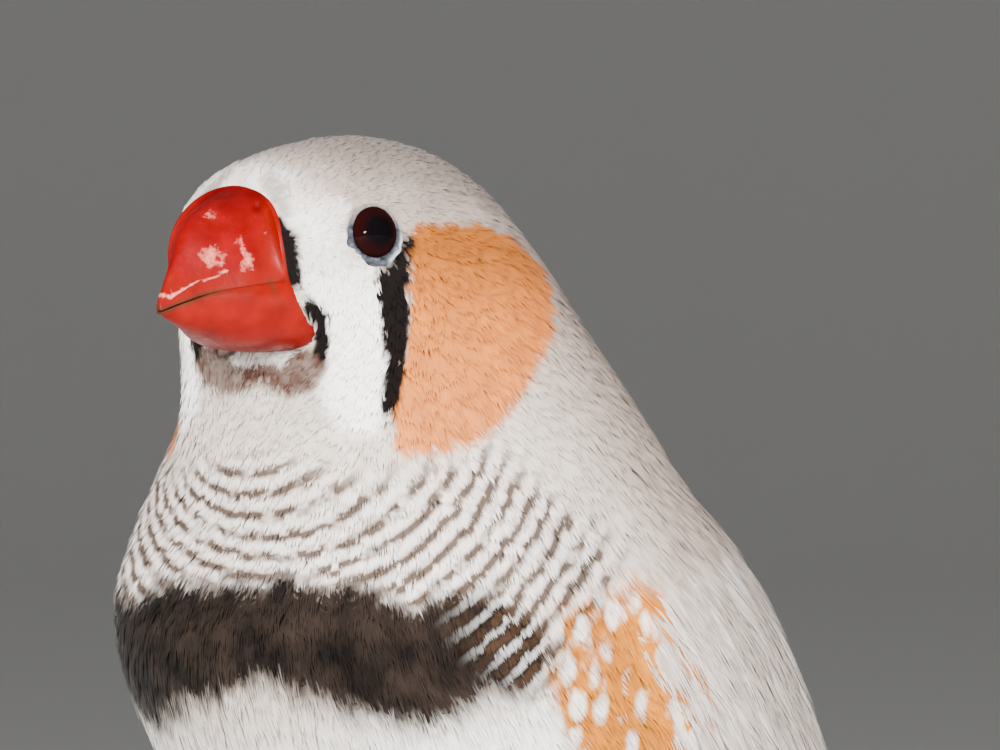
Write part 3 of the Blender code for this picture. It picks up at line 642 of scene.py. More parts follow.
def grid_faces(rows, columns, closed=False, start=0):
    """Four-sided faces over a grid of points, joined round where it is closed."""
    row = np.arange(rows - 1)[:, None]
    column = np.arange(columns if closed else columns - 1)[None, :]
    after = (column + 1) % columns
    corners = (
        row * columns + column, row * columns + after,
        (row + 1) * columns + after, (row + 1) * columns + column,
    )
    return np.stack([np.broadcast_to(c, (rows - 1, column.size)) for c in corners], -1).reshape(-1, 4) + start


def body_shift():
    """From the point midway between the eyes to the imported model's own zero, in mm."""
    low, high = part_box("eye_left")
    return np.array((low + high) / 2) / MM - eye_place(1)[0]


def eye_place(side):
    """An eye's centre, the middle of its opening and the direction that it looks in."""
    opening = section_point(BODY, np.array(EYE_STATION), np.array(EYE_ANGLE))
    heading = math.radians(EYE_HEADING)
    rise = math.radians(EYE_LIFT)
    look = np.array((
        math.sin(heading) * math.cos(rise), -math.cos(heading) * math.cos(rise), math.sin(rise)
    ))
    centre = opening - look * math.sqrt(EYE_RADIUS ** 2 - EYE_OPENING ** 2)
    mirror = np.array((side, 1, 1))
    return centre * mirror, opening * mirror, look * mirror


BODY_SHIFT = body_shift()


def add_node(tree, kind, settings=None, links=None):
    """A node with its settings and with links into its sockets."""
    node = tree.nodes.new(kind)
    for name, value in (settings or {}).items():
        if isinstance(name, str) and hasattr(node, name):
            setattr(node, name, value)
        else:
            node.inputs[name].default_value = value
    for name, source in (links or {}).items():
        tree.links.new(source, node.inputs[name])
    return node


def new_finish(name, **sockets):
    """A material of that name, with constant values on its own shader's sockets."""
    made = bpy.data.materials.new(name)
    made.use_nodes = True
    shader = made.node_tree.nodes["Principled BSDF"]
    for label, value in sockets.items():
        shader.inputs[label.replace("_", " ").title().replace("Ior", "IOR")].default_value = value
    return made, made.node_tree, shader


def graded(tree, source, steps):
    """A colour ramp through grey steps of position and value."""
    ramped = add_node(tree, "ShaderNodeValToRGB", links={"Fac": source})
    stops = ramped.color_ramp.elements
    for stop, (position, value) in zip(stops, (steps[0], steps[-1])):
        stop.position = position
        stop.color = (value, value, value, 1)
    for position, value in steps[1:-1]:
        stops.new(position).color = (value, value, value, 1)
    return ramped.outputs["Color"]


def over_colour(tree, below, colour, amount):
    """A constant colour laid over another colour by an amount."""
    mixed = add_node(tree, "ShaderNodeMix", {"data_type": "RGBA"}, {"Factor": amount})
    tree.links.new(below, mixed.inputs[6])
    mixed.inputs[7].default_value = (*colour, 1)
    return mixed.outputs[2]


def streaked(tree, scale):
    """Fine random streaks that run along the barbs."""
    barbs_at = add_node(tree, "ShaderNodeUVMap", {"uv_map": "barbs"})
    stretched = add_node(tree, "ShaderNodeMapping", {"Scale": scale}, {"Vector": barbs_at.outputs["UV"]})
    noise = add_node(
        tree, "ShaderNodeTexNoise", {"noise_dimensions": "2D", "Scale": 1.0, "Detail": 2.0, "Roughness": 0.6},
        {"Vector": stretched.outputs["Vector"]},
    )
    return noise.outputs["Fac"]


def finish_vanes(tree, shader, shown, streaks, low, high, bump):
    """Shade the barbs one by one, in colour and in relief."""
    light = add_node(
        tree, "ShaderNodeMapRange", {"From Min": 0.25, "From Max": 0.75, "To Min": low, "To Max": high},
        {"Value": streaks},
    )
    lit = add_node(tree, "ShaderNodeVectorMath", {"operation": "SCALE"}, {"Scale": light.outputs[0]})
    tree.links.new(shown, lit.inputs[0])
    tree.links.new(lit.outputs["Vector"], shader.inputs["Base Color"])
    relief = add_node(tree, "ShaderNodeBump", {"Strength": bump, "Distance": 0.00005}, {"Height": streaks})
    tree.links.new(relief.outputs["Normal"], shader.inputs["Normal"])


def contour_feather_finish():
    """Contour feathers: keratin vanes with loose, downy edges, grown and unpolished.

    The barbs, 0.12 mm apart, catch light one by one, so the coat is matt with a soft sheen.
    """
    made, tree, shader = new_finish(
        "contour_feather_keratin", roughness=0.9, ior=1.55, sheen_weight=0.04, sheen_roughness=0.5
    )
    shader.inputs["Specular IOR Level"].default_value = 0.1
    plumage = add_node(tree, "ShaderNodeAttribute", {"attribute_name": "plumage"})
    marks = add_node(tree, "ShaderNodeAttribute", {"attribute_name": "marks"})
    split = add_node(tree, "ShaderNodeSeparateXYZ", links={"Vector": marks.outputs["Vector"]})
    streaks = streaked(tree, (7.0, 0.8, 1.0))
    shape = add_node(tree, "ShaderNodeTexCoord")
    blots = add_node(
        tree, "ShaderNodeTexNoise", {"Scale": 640.0, "Detail": 2.0}, {"Vector": shape.outputs["Object"]}
    )

    # Bars: a brown dash, then white, along each step of the phase.
    ragged = add_node(tree, "ShaderNodeMath", {"operation": "MULTIPLY_ADD", 1: 0.12}, {0: streaks})
    tree.links.new(split.outputs["X"], ragged.inputs[2])
    step = add_node(tree, "ShaderNodeMath", {"operation": "FRACT"}, {0: ragged.outputs[0]})
    dash = graded(tree, step.outputs[0], ((0.0, 0), (0.02, 0), (0.16, 0.9), (0.38, 0.9), (0.56, 0), (1.0, 0)))
    pale = graded(tree, step.outputs[0], ((0.52, 0), (0.68, 0.45), (0.86, 0.45), (1.0, 0)))
    broken = add_node(
        tree, "ShaderNodeMapRange", {"From Min": 0.66, "From Max": 0.48, "To Max": 1.7}, {"Value": blots.outputs["Fac"]}
    )
    weakened = add_node(
        tree, "ShaderNodeMath", {"operation": "MULTIPLY", "use_clamp": True},
        {0: broken.outputs[0], 1: split.outputs["Y"]},
    )
    dash_amount = add_node(tree, "ShaderNodeMath", {"operation": "MULTIPLY"}, {0: dash, 1: weakened.outputs[0]})
    pale_amount = add_node(tree, "ShaderNodeMath", {"operation": "MULTIPLY"}, {0: pale, 1: split.outputs["Y"]})

    # Spots on the flank, 2 mm apart, longer downwards
    turned = add_node(
        tree, "ShaderNodeMapping", {"Rotation": (0.25, 0.0, 0.0), "Scale": (640.0, 640.0, 430.0)},
        {"Vector": shape.outputs["Object"]},
    )
    cells = add_node(
        tree, "ShaderNodeTexVoronoi", {"Scale": 1.0, "Randomness": 0.7}, {"Vector": turned.outputs["Vector"]}
    )
    torn = add_node(tree, "ShaderNodeMath", {"operation": "MULTIPLY_ADD", 1: 0.5}, {0: blots.outputs["Fac"]})
    tree.links.new(cells.outputs["Distance"], torn.inputs[2])
    spots = add_node(
        tree, "ShaderNodeMapRange", {"From Min": 0.74, "From Max": 0.5, "To Max": 0.8},
        {"Value": torn.outputs[0]},
    )
    spot_amount = add_node(
        tree, "ShaderNodeMath", {"operation": "MULTIPLY"}, {0: spots.outputs[0], 1: split.outputs["Z"]}
    )

    colours = bpy.context.scene.finch_plumage
    shown = over_colour(tree, plumage.outputs["Color"], colours.white, pale_amount.outputs[0])
    shown = over_colour(tree, shown, colours.bar, dash_amount.outputs[0])
    shown = over_colour(tree, shown, colours.white, spot_amount.outputs[0])
    finish_vanes(tree, shader, shown, streaks, 0.92, 1.08, 0.12)
    return made


def flight_feather_finish():
    """Flight and tail feathers: stiff keratin vanes, their barbs zipped into a flat blade.

    The closed blade is smoother than down, so it takes a faint gloss along the barbs.
    """
    made, tree, shader = new_finish("flight_feather_keratin", roughness=0.55, ior=1.55)
    shader.inputs["Specular IOR Level"].default_value = 0.35
    plumage = add_node(tree, "ShaderNodeAttribute", {"attribute_name": "plumage"})
    streaks = streaked(tree, (5.0, 0.25, 1.0))
    finish_vanes(tree, shader, plumage.outputs["Color"], streaks, 0.8, 1.2, 0.6)
    return made


def bill_horn_finish():
    """Bill: a sheath of layered horn, grown from the base and rubbed smooth by husking seed.

    Its gloss breaks up in small rough flecks, and its paler patches are painted highlights.
    """
    made, tree, shader = new_finish(
        "bill_horn_keratin", roughness=0.4, ior=1.54, coat_weight=0.05, coat_roughness=0.25
    )
    shader.inputs["Specular IOR Level"].default_value = 0.12
    horn = add_node(tree, "ShaderNodeAttribute", {"attribute_name": "plumage"})
    marks = add_node(tree, "ShaderNodeAttribute", {"attribute_name": "marks"})
    split = add_node(tree, "ShaderNodeSeparateXYZ", links={"Vector": marks.outputs["Vector"]})
    shape = add_node(tree, "ShaderNodeTexCoord")
    # Rough flecks of horn about 0.3 mm wide, in gloss and relief; the same noise breaks up the painted highlights
    relief_and_glint = add_node(
        tree, "ShaderNodeTexNoise", {"Scale": 2300.0, "Detail": 3.0, "Roughness": 0.65},
        {"Vector": shape.outputs["Object"]},
    )
    cloud = add_node(
        tree, "ShaderNodeTexNoise", {"Scale": 700.0, "Detail": 3.0}, {"Vector": shape.outputs["Object"]}
    )
    # How much of the painted highlight colour shows, broken up by the flecks
    glint_level = add_node(tree, "ShaderNodeMath", {"operation": "ADD"}, {0: relief_and_glint.outputs["Fac"], 1: split.outputs["X"]})
    ridge_and_glint = add_node(
        tree, "ShaderNodeMapRange", {"From Min": 0.72, "From Max": 1.08, "To Max": 0.9}, {"Value": glint_level.outputs[0]}
    )
    light = add_node(
        tree, "ShaderNodeMapRange", {"From Min": 0.3, "From Max": 0.7, "To Min": 0.8, "To Max": 1.2},
        {"Value": cloud.outputs["Fac"]},
    )
    lit = add_node(tree, "ShaderNodeVectorMath", {"operation": "SCALE"}, {"Scale": light.outputs[0]})
    tree.links.new(horn.outputs["Color"], lit.inputs[0])
    shown = over_colour(tree, lit.outputs["Vector"], bpy.context.scene.finch_bare_parts.painted_highlight, ridge_and_glint.outputs[0])
    tree.links.new(shown, shader.inputs["Base Color"])
    gloss = add_node(
        tree, "ShaderNodeMapRange", {"From Min": 0.3, "From Max": 0.7, "To Min": 0.3, "To Max": 0.55},
        {"Value": relief_and_glint.outputs["Fac"]},
    )
    tree.links.new(gloss.outputs[0], shader.inputs["Roughness"])
    relief = add_node(
        tree, "ShaderNodeBump", {"Strength": 0.35, "Distance": 0.00005}, {"Height": relief_and_glint.outputs["Fac"]}
    )
    tree.links.new(relief.outputs["Normal"], shader.inputs["Normal"])
    return made


def cornea_finish():
    """Eye: a wet, clear cornea over a dark iris, polished by the lids, so it mirrors the lights."""
    made, tree, shader = new_finish(
        "wet_cornea", roughness=0.04, ior=1.376, coat_weight=0.1, coat_ior=1.376, coat_roughness=0.01
    )
    shader.inputs["Specular IOR Level"].default_value = 0.0
    place = add_node(tree, "ShaderNodeAttribute", {"attribute_name": "marks"})
    reach = add_node(tree, "ShaderNodeVectorMath", {"operation": "LENGTH"}, {0: place.outputs["Vector"]})
    way = add_node(tree, "ShaderNodeVectorMath", {"operation": "NORMALIZE"}, {0: place.outputs["Vector"]})
    # Fibres of the iris, about 0.15 mm apart
    fibres = add_node(
        tree, "ShaderNodeTexNoise", {"Scale": 9.0, "Detail": 3.0, "Roughness": 0.7}, {"Vector": way.outputs["Vector"]}
    )
    uneven = add_node(tree, "ShaderNodeMath", {"operation": "MULTIPLY_ADD", 1: 0.16}, {0: fibres.outputs["Fac"]})
    tree.links.new(reach.outputs["Value"], uneven.inputs[2])
    scaled = add_node(tree, "ShaderNodeMath", {"operation": "MULTIPLY", 1: 0.5}, {0: uneven.outputs[0]})
    ring = graded(tree, scaled.outputs[0], ((0.0, 0), (0.42, 0), (0.55, 0.6), (0.7, 1), (0.82, 0.6), (0.9, 0.15)))
    light = add_node(
        tree, "ShaderNodeMapRange", {"From Min": 0.3, "From Max": 0.7, "To Min": 0.55, "To Max": 1.25},
        {"Value": fibres.outputs["Fac"]},
    )
    amount = add_node(
        tree, "ShaderNodeMath", {"operation": "MULTIPLY", "use_clamp": True}, {0: ring, 1: light.outputs[0]}
    )
    mixed = add_node(tree, "ShaderNodeMix", {"data_type": "RGBA"}, {"Factor": amount.outputs[0]})
    mixed.inputs[6].default_value = (0.002, 0.0015, 0.002, 1)
    mixed.inputs[7].default_value = (*bpy.context.scene.finch_bare_parts.iris, 1)
    tree.links.new(mixed.outputs[2], shader.inputs["Base Color"])
    return made


def bare_finish(name, roughness, size, shift, relief, **sockets):
    """A bare part coloured at its points, with cloudy shifts of a size in mm and fine relief."""
    made, tree, shader = new_finish(name, roughness=roughness, **sockets)
    colour = add_node(tree, "ShaderNodeAttribute", {"attribute_name": "plumage"})
    shape = add_node(tree, "ShaderNodeTexCoord")
    cloud = add_node(
        tree, "ShaderNodeTexNoise", {"Scale": 1000.0 / size, "Detail": 3.0, "Roughness": 0.6},
        {"Vector": shape.outputs["Object"]},
    )
    light = add_node(
        tree, "ShaderNodeMapRange",
        {"From Min": 0.3, "From Max": 0.7, "To Min": 1 - shift, "To Max": 1 + shift},
        {"Value": cloud.outputs["Fac"]},
    )
    lit = add_node(tree, "ShaderNodeVectorMath", {"operation": "SCALE"}, {"Scale": light.outputs[0]})
    tree.links.new(colour.outputs["Color"], lit.inputs[0])
    tree.links.new(lit.outputs["Vector"], shader.inputs["Base Color"])
    bump = add_node(
        tree, "ShaderNodeBump", {"Strength": relief, "Distance": 0.00006}, {"Height": cloud.outputs["Fac"]}
    )
    tree.links.new(bump.outputs["Normal"], shader.inputs["Normal"])
    return made


def feather_forms(barbs, count, rng, split=0.42, wide=1.0):
    """Small loose feathers: places across, along and off the vane, and shared triangles.

    Up to the split the vane is closed; past it each barb runs free to its own tip.
    """
    columns = 5
    across = np.linspace(-1, 1, columns)
    along = np.array((0.0, split * 0.55, split * 1.3))
    width = np.array((0.4, 0.85, 1.0)) * wide
    vane_across = width[:, None] * across
    vane_along = along[:, None] * (1 - 0.3 * across ** 2)
    starts = np.linspace(-0.93, 0.93, barbs)
    half = 1.9 / barbs
    forms = []
    for _ in range(count):
        vane = np.stack((vane_across, vane_along, np.zeros_like(vane_across)), -1).reshape(-1, 3)
        lean = starts * rng.uniform(0.7, 1.0) + rng.normal(0, 0.1, barbs)
        reach = 1 - 0.3 * starts ** 2 + rng.normal(0, 0.08, barbs)
        begin = split * (1.05 - 0.35 * starts ** 2)
        middle = begin + (reach - begin) * rng.uniform(0.4, 0.6, barbs)
        rise = rng.normal(0, 1, barbs)
        curl = (starts * 0.6 + lean * 0.4) * wide
        corners = np.stack((
            np.stack((starts * wide - half, begin, 0 * rise), -1),
            np.stack((starts * wide + half, begin, 0 * rise), -1),
            np.stack((curl - half * 0.75, middle, rise * 0.6), -1),
            np.stack((curl + half * 0.75, middle, rise * 0.6), -1),
            np.stack((lean * wide, reach, rise), -1),
        ), 1)
        forms.append(np.concatenate((vane, corners.reshape(-1, 3))))
    quads = grid_faces(3, columns)
    first = 3 * columns + 5 * np.arange(barbs)[:, None]
    strips = np.concatenate([first + np.array(corner) for corner in ((0, 1, 3), (0, 3, 2), (2, 3, 4))])
    faces = np.concatenate((quads[:, (0, 1, 2)], quads[:, (0, 2, 3)], strips))
    return np.array(forms), faces


def scattered(surface, places, degrees, spacing, rng, crowding=5):
    """Roots spread evenly over a surface, by spacing in mm: places and degrees."""
    place_step = places[1] - places[0]
    degree_step = degrees[1] - degrees[0]
    place, angle = (grid.ravel() for grid in np.meshgrid(places, degrees, indexing="ij"))
    zero = np.zeros_like(place)
    along = surface(place + place_step, angle, zero) - surface(place, angle, zero)
    turn = surface(place, angle + degree_step, zero) - surface(place, angle, zero)
    area = np.linalg.norm(np.cross(along, turn), axis=-1)
    gap = spacing(place, angle)
    wanted = np.where(gap > 0, area / np.maximum(gap, 0.01) ** 2, 0)
    count = int(wanted.sum() * crowding)
    chosen = rng.choice(len(place), count, p=wanted / wanted.sum())
    place = place[chosen] + rng.random(count) * place_step
    angle = angle[chosen] + rng.random(count) * degree_step
    points = surface(place, angle, np.zeros(count))
    gap = spacing(place, angle) * 0.8
    tree = KDTree(count)
    for index, point in enumerate(points):
        tree.insert(point, index)
    tree.balance()
    gone = gap <= 0
    kept = []
    for index in range(count):
        if not gone[index]:
            kept.append(index)
            for _, other, _ in tree.find_range(points[index], gap[index]):
                gone[other] = True
    kept = np.array(kept)[np.argsort(place[kept])]
    return place[kept], angle[kept]


def laid_feathers(surface, place, degrees, sizes, forms, rng, camber=0.25):
    """Small feathers on a surface: their points, shared maps and places, all in one.

    sizes are each feather's length and width, how far down its root sits, how far its
    end stands off, its heading in degrees from the surface's own lie, and how loose its
    barbs are.
    """
    length, width, depth, tip, heading, loose = sizes
    shapes, triangles = forms
    count = len(place)
    zero = np.zeros(count)
    step = 0.02
    along = (surface(place + step, degrees, zero) - surface(place - step, degrees, zero)) / (2 * step)
    turn = (surface(place, degrees + 1, zero) - surface(place, degrees - 1, zero)) / 2
    flow = unit(along)
    cross = unit(turn - flow * dot(turn, flow)[:, None])
    angle = np.radians(heading)[:, None]
    ahead = flow * np.cos(angle) + cross * np.sin(angle)
    side = cross * np.cos(angle) - flow * np.sin(angle)
    shape = shapes[rng.integers(0, len(shapes), count)]
    across_mm = shape[..., 0] * (width / 2)[:, None]
    along_mm = shape[..., 1] * length[:, None]
    by_along = along_mm * dot(ahead, along)[:, None] + across_mm * dot(side, along)[:, None]
    by_turn = along_mm * dot(ahead, turn)[:, None] + across_mm * dot(side, turn)[:, None]
    metric = (dot(along, along), dot(along, turn), dot(turn, turn))
    scale = np.maximum(metric[0] * metric[2] - metric[1] ** 2, 1e-6)[:, None]
    to_place = (metric[2][:, None] * by_along - metric[1][:, None] * by_turn) / scale
    to_degrees = (metric[0][:, None] * by_turn - metric[1][:, None] * by_along) / scale
    share = np.clip(shape[..., 1], 0, 1.2)
    lift = -depth[:, None] + (depth + tip)[:, None] * share ** 0.7
    lift = lift - camber * across_mm ** 2 / np.maximum(width[:, None], 0.1)
    lift = lift + shape[..., 2] * loose[:, None]
    at_place = place[:, None] + to_place
    at_degrees = degrees[:, None] + to_degrees
    points = surface(at_place, at_degrees, lift)
    barb_angle = math.radians(16)
    own = rng.random((count, 1, 2)) * 40
    sideways = np.abs(across_mm)
    barbs = np.stack((
        sideways * math.cos(barb_angle) - along_mm * math.sin(barb_angle),
        sideways * math.sin(barb_angle) + along_mm * math.cos(barb_angle),
    ), -1) + own
    patch = np.stack((shape[..., 0] * 0.0015, shape[..., 1] * 0.003 - 0.0015), -1)
    return points, at_place, at_degrees, shape[..., 1], barbs, patch


def clear_of_eyes(points):
    """Push feathers aside that would lie over an eye or its lids."""
    for side in (1, -1):
        _, opening, look = eye_place(side)
        offset = points - opening
        axial = dot(offset, look)
        radial = offset - look * axial[..., None]
        reach = np.linalg.norm(radial, axis=-1)
        close = (reach < LID_REACH) & (np.abs(axial) < 3)
        push = np.where(close, LID_REACH / np.maximum(reach, 0.05), 1.0)
        points = opening + look * axial[..., None] + radial * push[..., None]
    return points


def feather_coat(name, surface, place, degrees, sizes, forms, shading, unwrap, rng, slot, pair=False, firm=0.3):
    """Pieces of small feathers, each under 200,000 triangles; a pair is mirrored as well."""
    finish = bpy.data.materials["contour_feather_keratin"]
    triangles = forms[1]
    most = 190000 // len(triangles)
    parts = math.ceil(len(place) / most)
    for part in range(parts):
        chosen = slice(part * len(place) // parts, (part + 1) * len(place) // parts)
        at, angle = place[chosen], degrees[chosen]
        count = len(at)
        points, at_place, at_degrees, share, barbs, patch = laid_feathers(
            surface, at, angle, [size[chosen] for size in sizes], forms, rng
        )
        if surface is coat_surface and at.min() < 5:
            points = clear_of_eyes(points)
        out = surface_out(surface, at_place, at_degrees)
        colour, marks = shading(at_place, at_degrees, out, share)
        faces = triangles[None] + (np.arange(count) * forms[0].shape[1])[:, None, None]
        faces = faces.reshape(-1, 3)
        maps = {"barbs": barbs, "OFBake": unwrap(at, angle)[:, None, :] + patch}
        label = name if parts == 1 else f"{name}_{part + 1}"
        for side in ("left", "right") if pair else ("",):
            mirror = MIRROR if side == "right" else np.ones(3)
            piece = piece_from(
                f"{label}_{side}" if side else label, points * mirror,
                faces[:, ::-1] if side == "right" else faces, finish, maps,
                {"plumage": colour, "marks": marks}, out * mirror, firm,
            )
            settle(piece, slot)


def feather_vanes(name, surface, vanes, shading, finish, slot, nodes, pair=False):
    """Large single feathers as cambered blades in one piece, with their bake strips.

    Each vane is its root, tip, width, lifts, tilt and how far back its barbs sweep.
    """
    rows, columns = 30, 13
    share = np.linspace(0, 1, rows)[:, None]
    across = np.linspace(-1, 1, columns)[None, :]
    spread = np.interp(share, (0, 0.12, 0.4, 0.75, 0.9, 0.96, 1), (0.45, 0.8, 1, 0.97, 0.78, 0.5, 0.12))
    rng = np.random.default_rng(len(vanes))
    points, colours, barbs, strips = [], [], [], []
    for index, (root, tip, width, lifts, tilt, sweep) in enumerate(vanes):
        at = root[0] + (tip[0] - root[0]) * share
        turned = root[1] + (tip[1] - root[1]) * share
        lift = lifts[0] + (lifts[1] - lifts[0]) * share
        centre = surface(at, turned, lift)
        out = unit(surface(at, turned, lift + 1) - centre)
        ahead = unit(np.gradient(centre[:, 0], axis=0))[:, None, :]
        sideways = unit(np.cross(ahead, out))
        offset = across * spread * width / 2
        length = np.linalg.norm(np.diff(centre[:, 0], axis=0), axis=1).sum()
        wavy = 0.05 * np.sin(np.arange(rows)[:, None] * 1.7 + index) * np.abs(across) ** 3
        rise = tilt * across * ramp(share, 0, 0.3) - 0.03 * offset ** 2 + wavy
        rise = rise + 0.1 * np.exp(-(offset / 0.2) ** 2) * (1 - share)
        back = ahead * (-sweep * np.abs(offset) * ramp(share, 0, 0.5))[..., None]
        points.append(centre + sideways * offset[..., None] + out * rise[..., None] + back)
        colours.append(shading(share + 0 * across, across + 0 * share, index))
        along_mm = share * length
        barbs.append(np.stack((
            np.abs(offset) * 0.85 - along_mm * 0.5, np.abs(offset) * 0.5 + along_mm * 0.85
        ), -1) + rng.random(2) * 40)
        strips.append(np.stack((
            (index + 0.5 + 0.4 * across + 0 * share) / len(vanes), 0.02 + 0.96 * share + 0 * across
        ), -1))
    blade = grid_faces(rows, columns)
    faces = np.concatenate([blade + index * rows * columns for index in range(len(vanes))])
    for side in ("left", "right") if pair else ("",):
        mirror = MIRROR if side == "right" else np.ones(3)
        piece = piece_from(
            f"{name}_{side}" if side else name, np.array(points) * mirror,
            faces[:, ::-1] if side == "right" else faces, finish,
            {"barbs": np.array(barbs), "OFBake": np.array(strips)}, {"plumage": np.array(colours)},
        )
        settle(piece, slot, *[node.format(side=side) for node in nodes])


def skin_depth(place):
    return np.interp(place, *SKIN_DEPTH)


def feather_spacing(place, degrees):
    """Room for each contour feather on the body, in mm; none where the wings lie."""
    folded = fold(degrees)
    gap = np.interp(place, *SPACING)
    gap = gap * (1 + 0.25 * ramp(place, 8, 10) * ramp(folded, 90, 60))
    gap = gap / math.sqrt(bpy.context.scene.finch_plumage.density)
    top, low, _ = wing_span(place)
    under_wing = (place > 10.9) & (place < 15.0) & (folded > top + 9) & (folded < low - 10)
    _, opening, _ = eye_place(1)
    points = section_point(BODY, place, folded)
    at_eye = np.linalg.norm(points - opening, axis=-1) < EYE_OPENING + 0.05
    return np.where(under_wing | at_eye, 0, gap)


def feather_heading(place, degrees):
    """How far feathers turn from the body's own lie: on the face, downwards."""
    turned = np.asarray(degrees) % 360
    side = np.where(turned > 180, -1.0, 1.0)
    folded = fold(degrees)
    face = ramp(place, 6.5, 2.5) * ramp(folded, 50, 85) * ramp(folded, 175, 140)
    return side * face * 48


def body_unwrap(place, degrees):
    return np.stack((np.asarray(degrees) % 360 / 360 * 0.98 + 0.01, np.asarray(place) / 22 + 0.02), -1)


class FINCH_OT_skin(bpy.types.Operator):
    """One skin over head, neck, torso, rump and thighs, sunk by the depth of the feathers"""

    bl_idname = "finch.skin"
    bl_label = "Skin"

    def execute(self, context):
        finish = contour_feather_finish()
        rows, columns = 220, 144
        place, degrees = np.meshgrid(
            np.linspace(0, BODY_END, rows), np.arange(columns) * 360 / columns, indexing="ij"
        )
        points = body_surface(place, degrees, 0.5 * mantle(place, fold(degrees)) - skin_depth(place))
        out = section_out(BODY, place, degrees)
        colour, phase, bars, spots = markings(section_point(BODY, place, degrees), out, place, degrees)
        marks = np.stack((phase, bars, spots), -1)
        ends = np.stack((points[0].mean(0) - (0, 0.6, 0), points[-1].mean(0)))
        count = rows * columns
        last = count - columns
        faces = grid_faces(rows, columns, closed=True)
        after = (np.arange(columns) + 1) % columns
        caps = np.concatenate((
            np.stack((np.full(columns, count), after, np.arange(columns)), -1),
            np.stack((np.full(columns, count + 1), last + np.arange(columns), last + after), -1),
        ))
        faces = [faces[:, (0, 1, 2)], faces[:, (0, 2, 3)], caps]

        share, turn = np.meshgrid(np.linspace(0, 1, 24), np.arange(40) * 9.0, indexing="ij")
        thigh = thigh_surface(share, turn, np.full(share.shape, -0.5)).reshape(-1, 3)
        around = grid_faces(24, 40, closed=True)
        around = np.concatenate((around[:, (0, 1, 2)], around[:, (0, 2, 3)]))
        faces += [around + count + 2, around[:, ::-1] + count + 2 + len(thigh)]

        points = np.concatenate((points.reshape(-1, 3), ends, thigh, thigh * MIRROR))
        white = np.broadcast_to(np.array(context.scene.finch_plumage.white), (2 * len(thigh), 3))
        colours = np.concatenate((colour.reshape(-1, 3), colour[0, :1], colour[-1, :1], white))
        marks = np.concatenate((marks.reshape(-1, 3), np.zeros((2 + 2 * len(thigh), 3))))
        barbs = points[:, :2] * np.array((1.0, 0.2)) + points[:, 2:] * 0.3
        skin = piece_from(
            "skin", points, np.concatenate(faces), finish,
            {"barbs": barbs}, {"plumage": colours, "marks": marks},
        )
        settle(skin, "feathers_body", "head", "neck", "torso", "rump", "thigh_left", "thigh_right")
        return {"FINISHED"}


class FINCH_OT_coat(bpy.types.Operator):
    """Contour feathers over the body and thighs, rooted in the skin and lying back along it"""

    bl_idname = "finch.coat"
    bl_label = "Body feathers"

    def execute(self, context):
        rng = np.random.default_rng(7)
        softness = context.scene.finch_plumage.softness
        place, degrees = scattered(
            coat_surface, np.linspace(0.02, 19.6, 330), np.arange(0, 360, 1.5), feather_spacing, rng
        )

        def shading(at_place, at_degrees, out, share):
            count = len(at_place)
            base = section_point(BODY, at_place, at_degrees) + rng.normal(0, 0.1, (count, 1, 3))
            colour, phase, bars, spots = markings(base, out, at_place, at_degrees)
            colour = colour * rng.normal(1, 0.03, (count, 1, 1)) * (0.98 + 0.03 * share)[..., None]
            phase = phase + rng.normal(0, 0.04, (count, 1))
            return colour, np.stack((phase, bars, spots), -1)

        for name, start, end, barbs, split in (
            ("coat_face", -1.0, 2.6, 9, 0.62), ("coat_cheeks", 2.6, 5.0, 9, 0.62),
            ("coat_neck", 5.0, 8.6, 11, 0.55), ("coat_breast", 8.6, 12.0, 13, 0.45),
            ("coat_belly", 12.0, 21.0, 15, 0.42),
        ):
            chosen = (place >= start) & (place < end)
            at, angle = place[chosen], degrees[chosen]
            count = len(at)
            gap = np.interp(at, *SPACING)
            long = ramp(fold(angle), 95, 75) * ramp(at, 7.5, 9.5) * ramp(at, 13.0, 11.0)
            sizes = (
                gap * np.interp(at, *FEATHER_LENGTH) * rng.uniform(0.8, 1.2, count) * (1 + 0.8 * long),
                gap * 1.75 * rng.uniform(0.9, 1.2, count) * (1 + 0.3 * long),
                skin_depth(at) + 0.05,
                softness * rng.normal(0.2, 1.0, count),
                feather_heading(at, angle) + rng.normal(0, 6, count),
                np.full(count, 0.01) + 0.02 * ramp(at, 4, 12),
            )
            forms = feather_forms(barbs, 24, rng, split)
            feather_coat(
                name, coat_surface, at, angle, sizes, forms, shading, body_unwrap, rng, "feathers_body",
                firm=0.1,
            )

        white = np.array(context.scene.finch_plumage.white)

        def thigh_shading(at_place, at_degrees, out, share):
            colour = white * (0.86 + 0.1 * share + rng.normal(0, 0.03, (len(share), 1)))[..., None]
            return colour, np.zeros_like(colour)

        share, turn = scattered(
            thigh_surface, np.linspace(0.0, 0.97, 60), np.arange(0, 360, 3.0),
            lambda place, degrees: np.full(np.shape(place), 0.75), rng,
        )
        count = len(share)
        sizes = (
            rng.uniform(2.6, 3.6, count), rng.uniform(1.2, 1.6, count), np.full(count, 0.55),
            rng.normal(0.0, 0.05, count), rng.normal(0, 12, count), np.full(count, 0.06),
        )
        feather_coat(
            "thigh_coat", thigh_surface, share, turn, sizes, feather_forms(11, 16, rng), thigh_shading,
            lambda at, angle: np.stack((angle / 360 * 0.4 + 0.3, at * 0.2 + 0.75), -1), rng,
            "feathers_body", pair=True,
        )
        return {"FINISHED"}


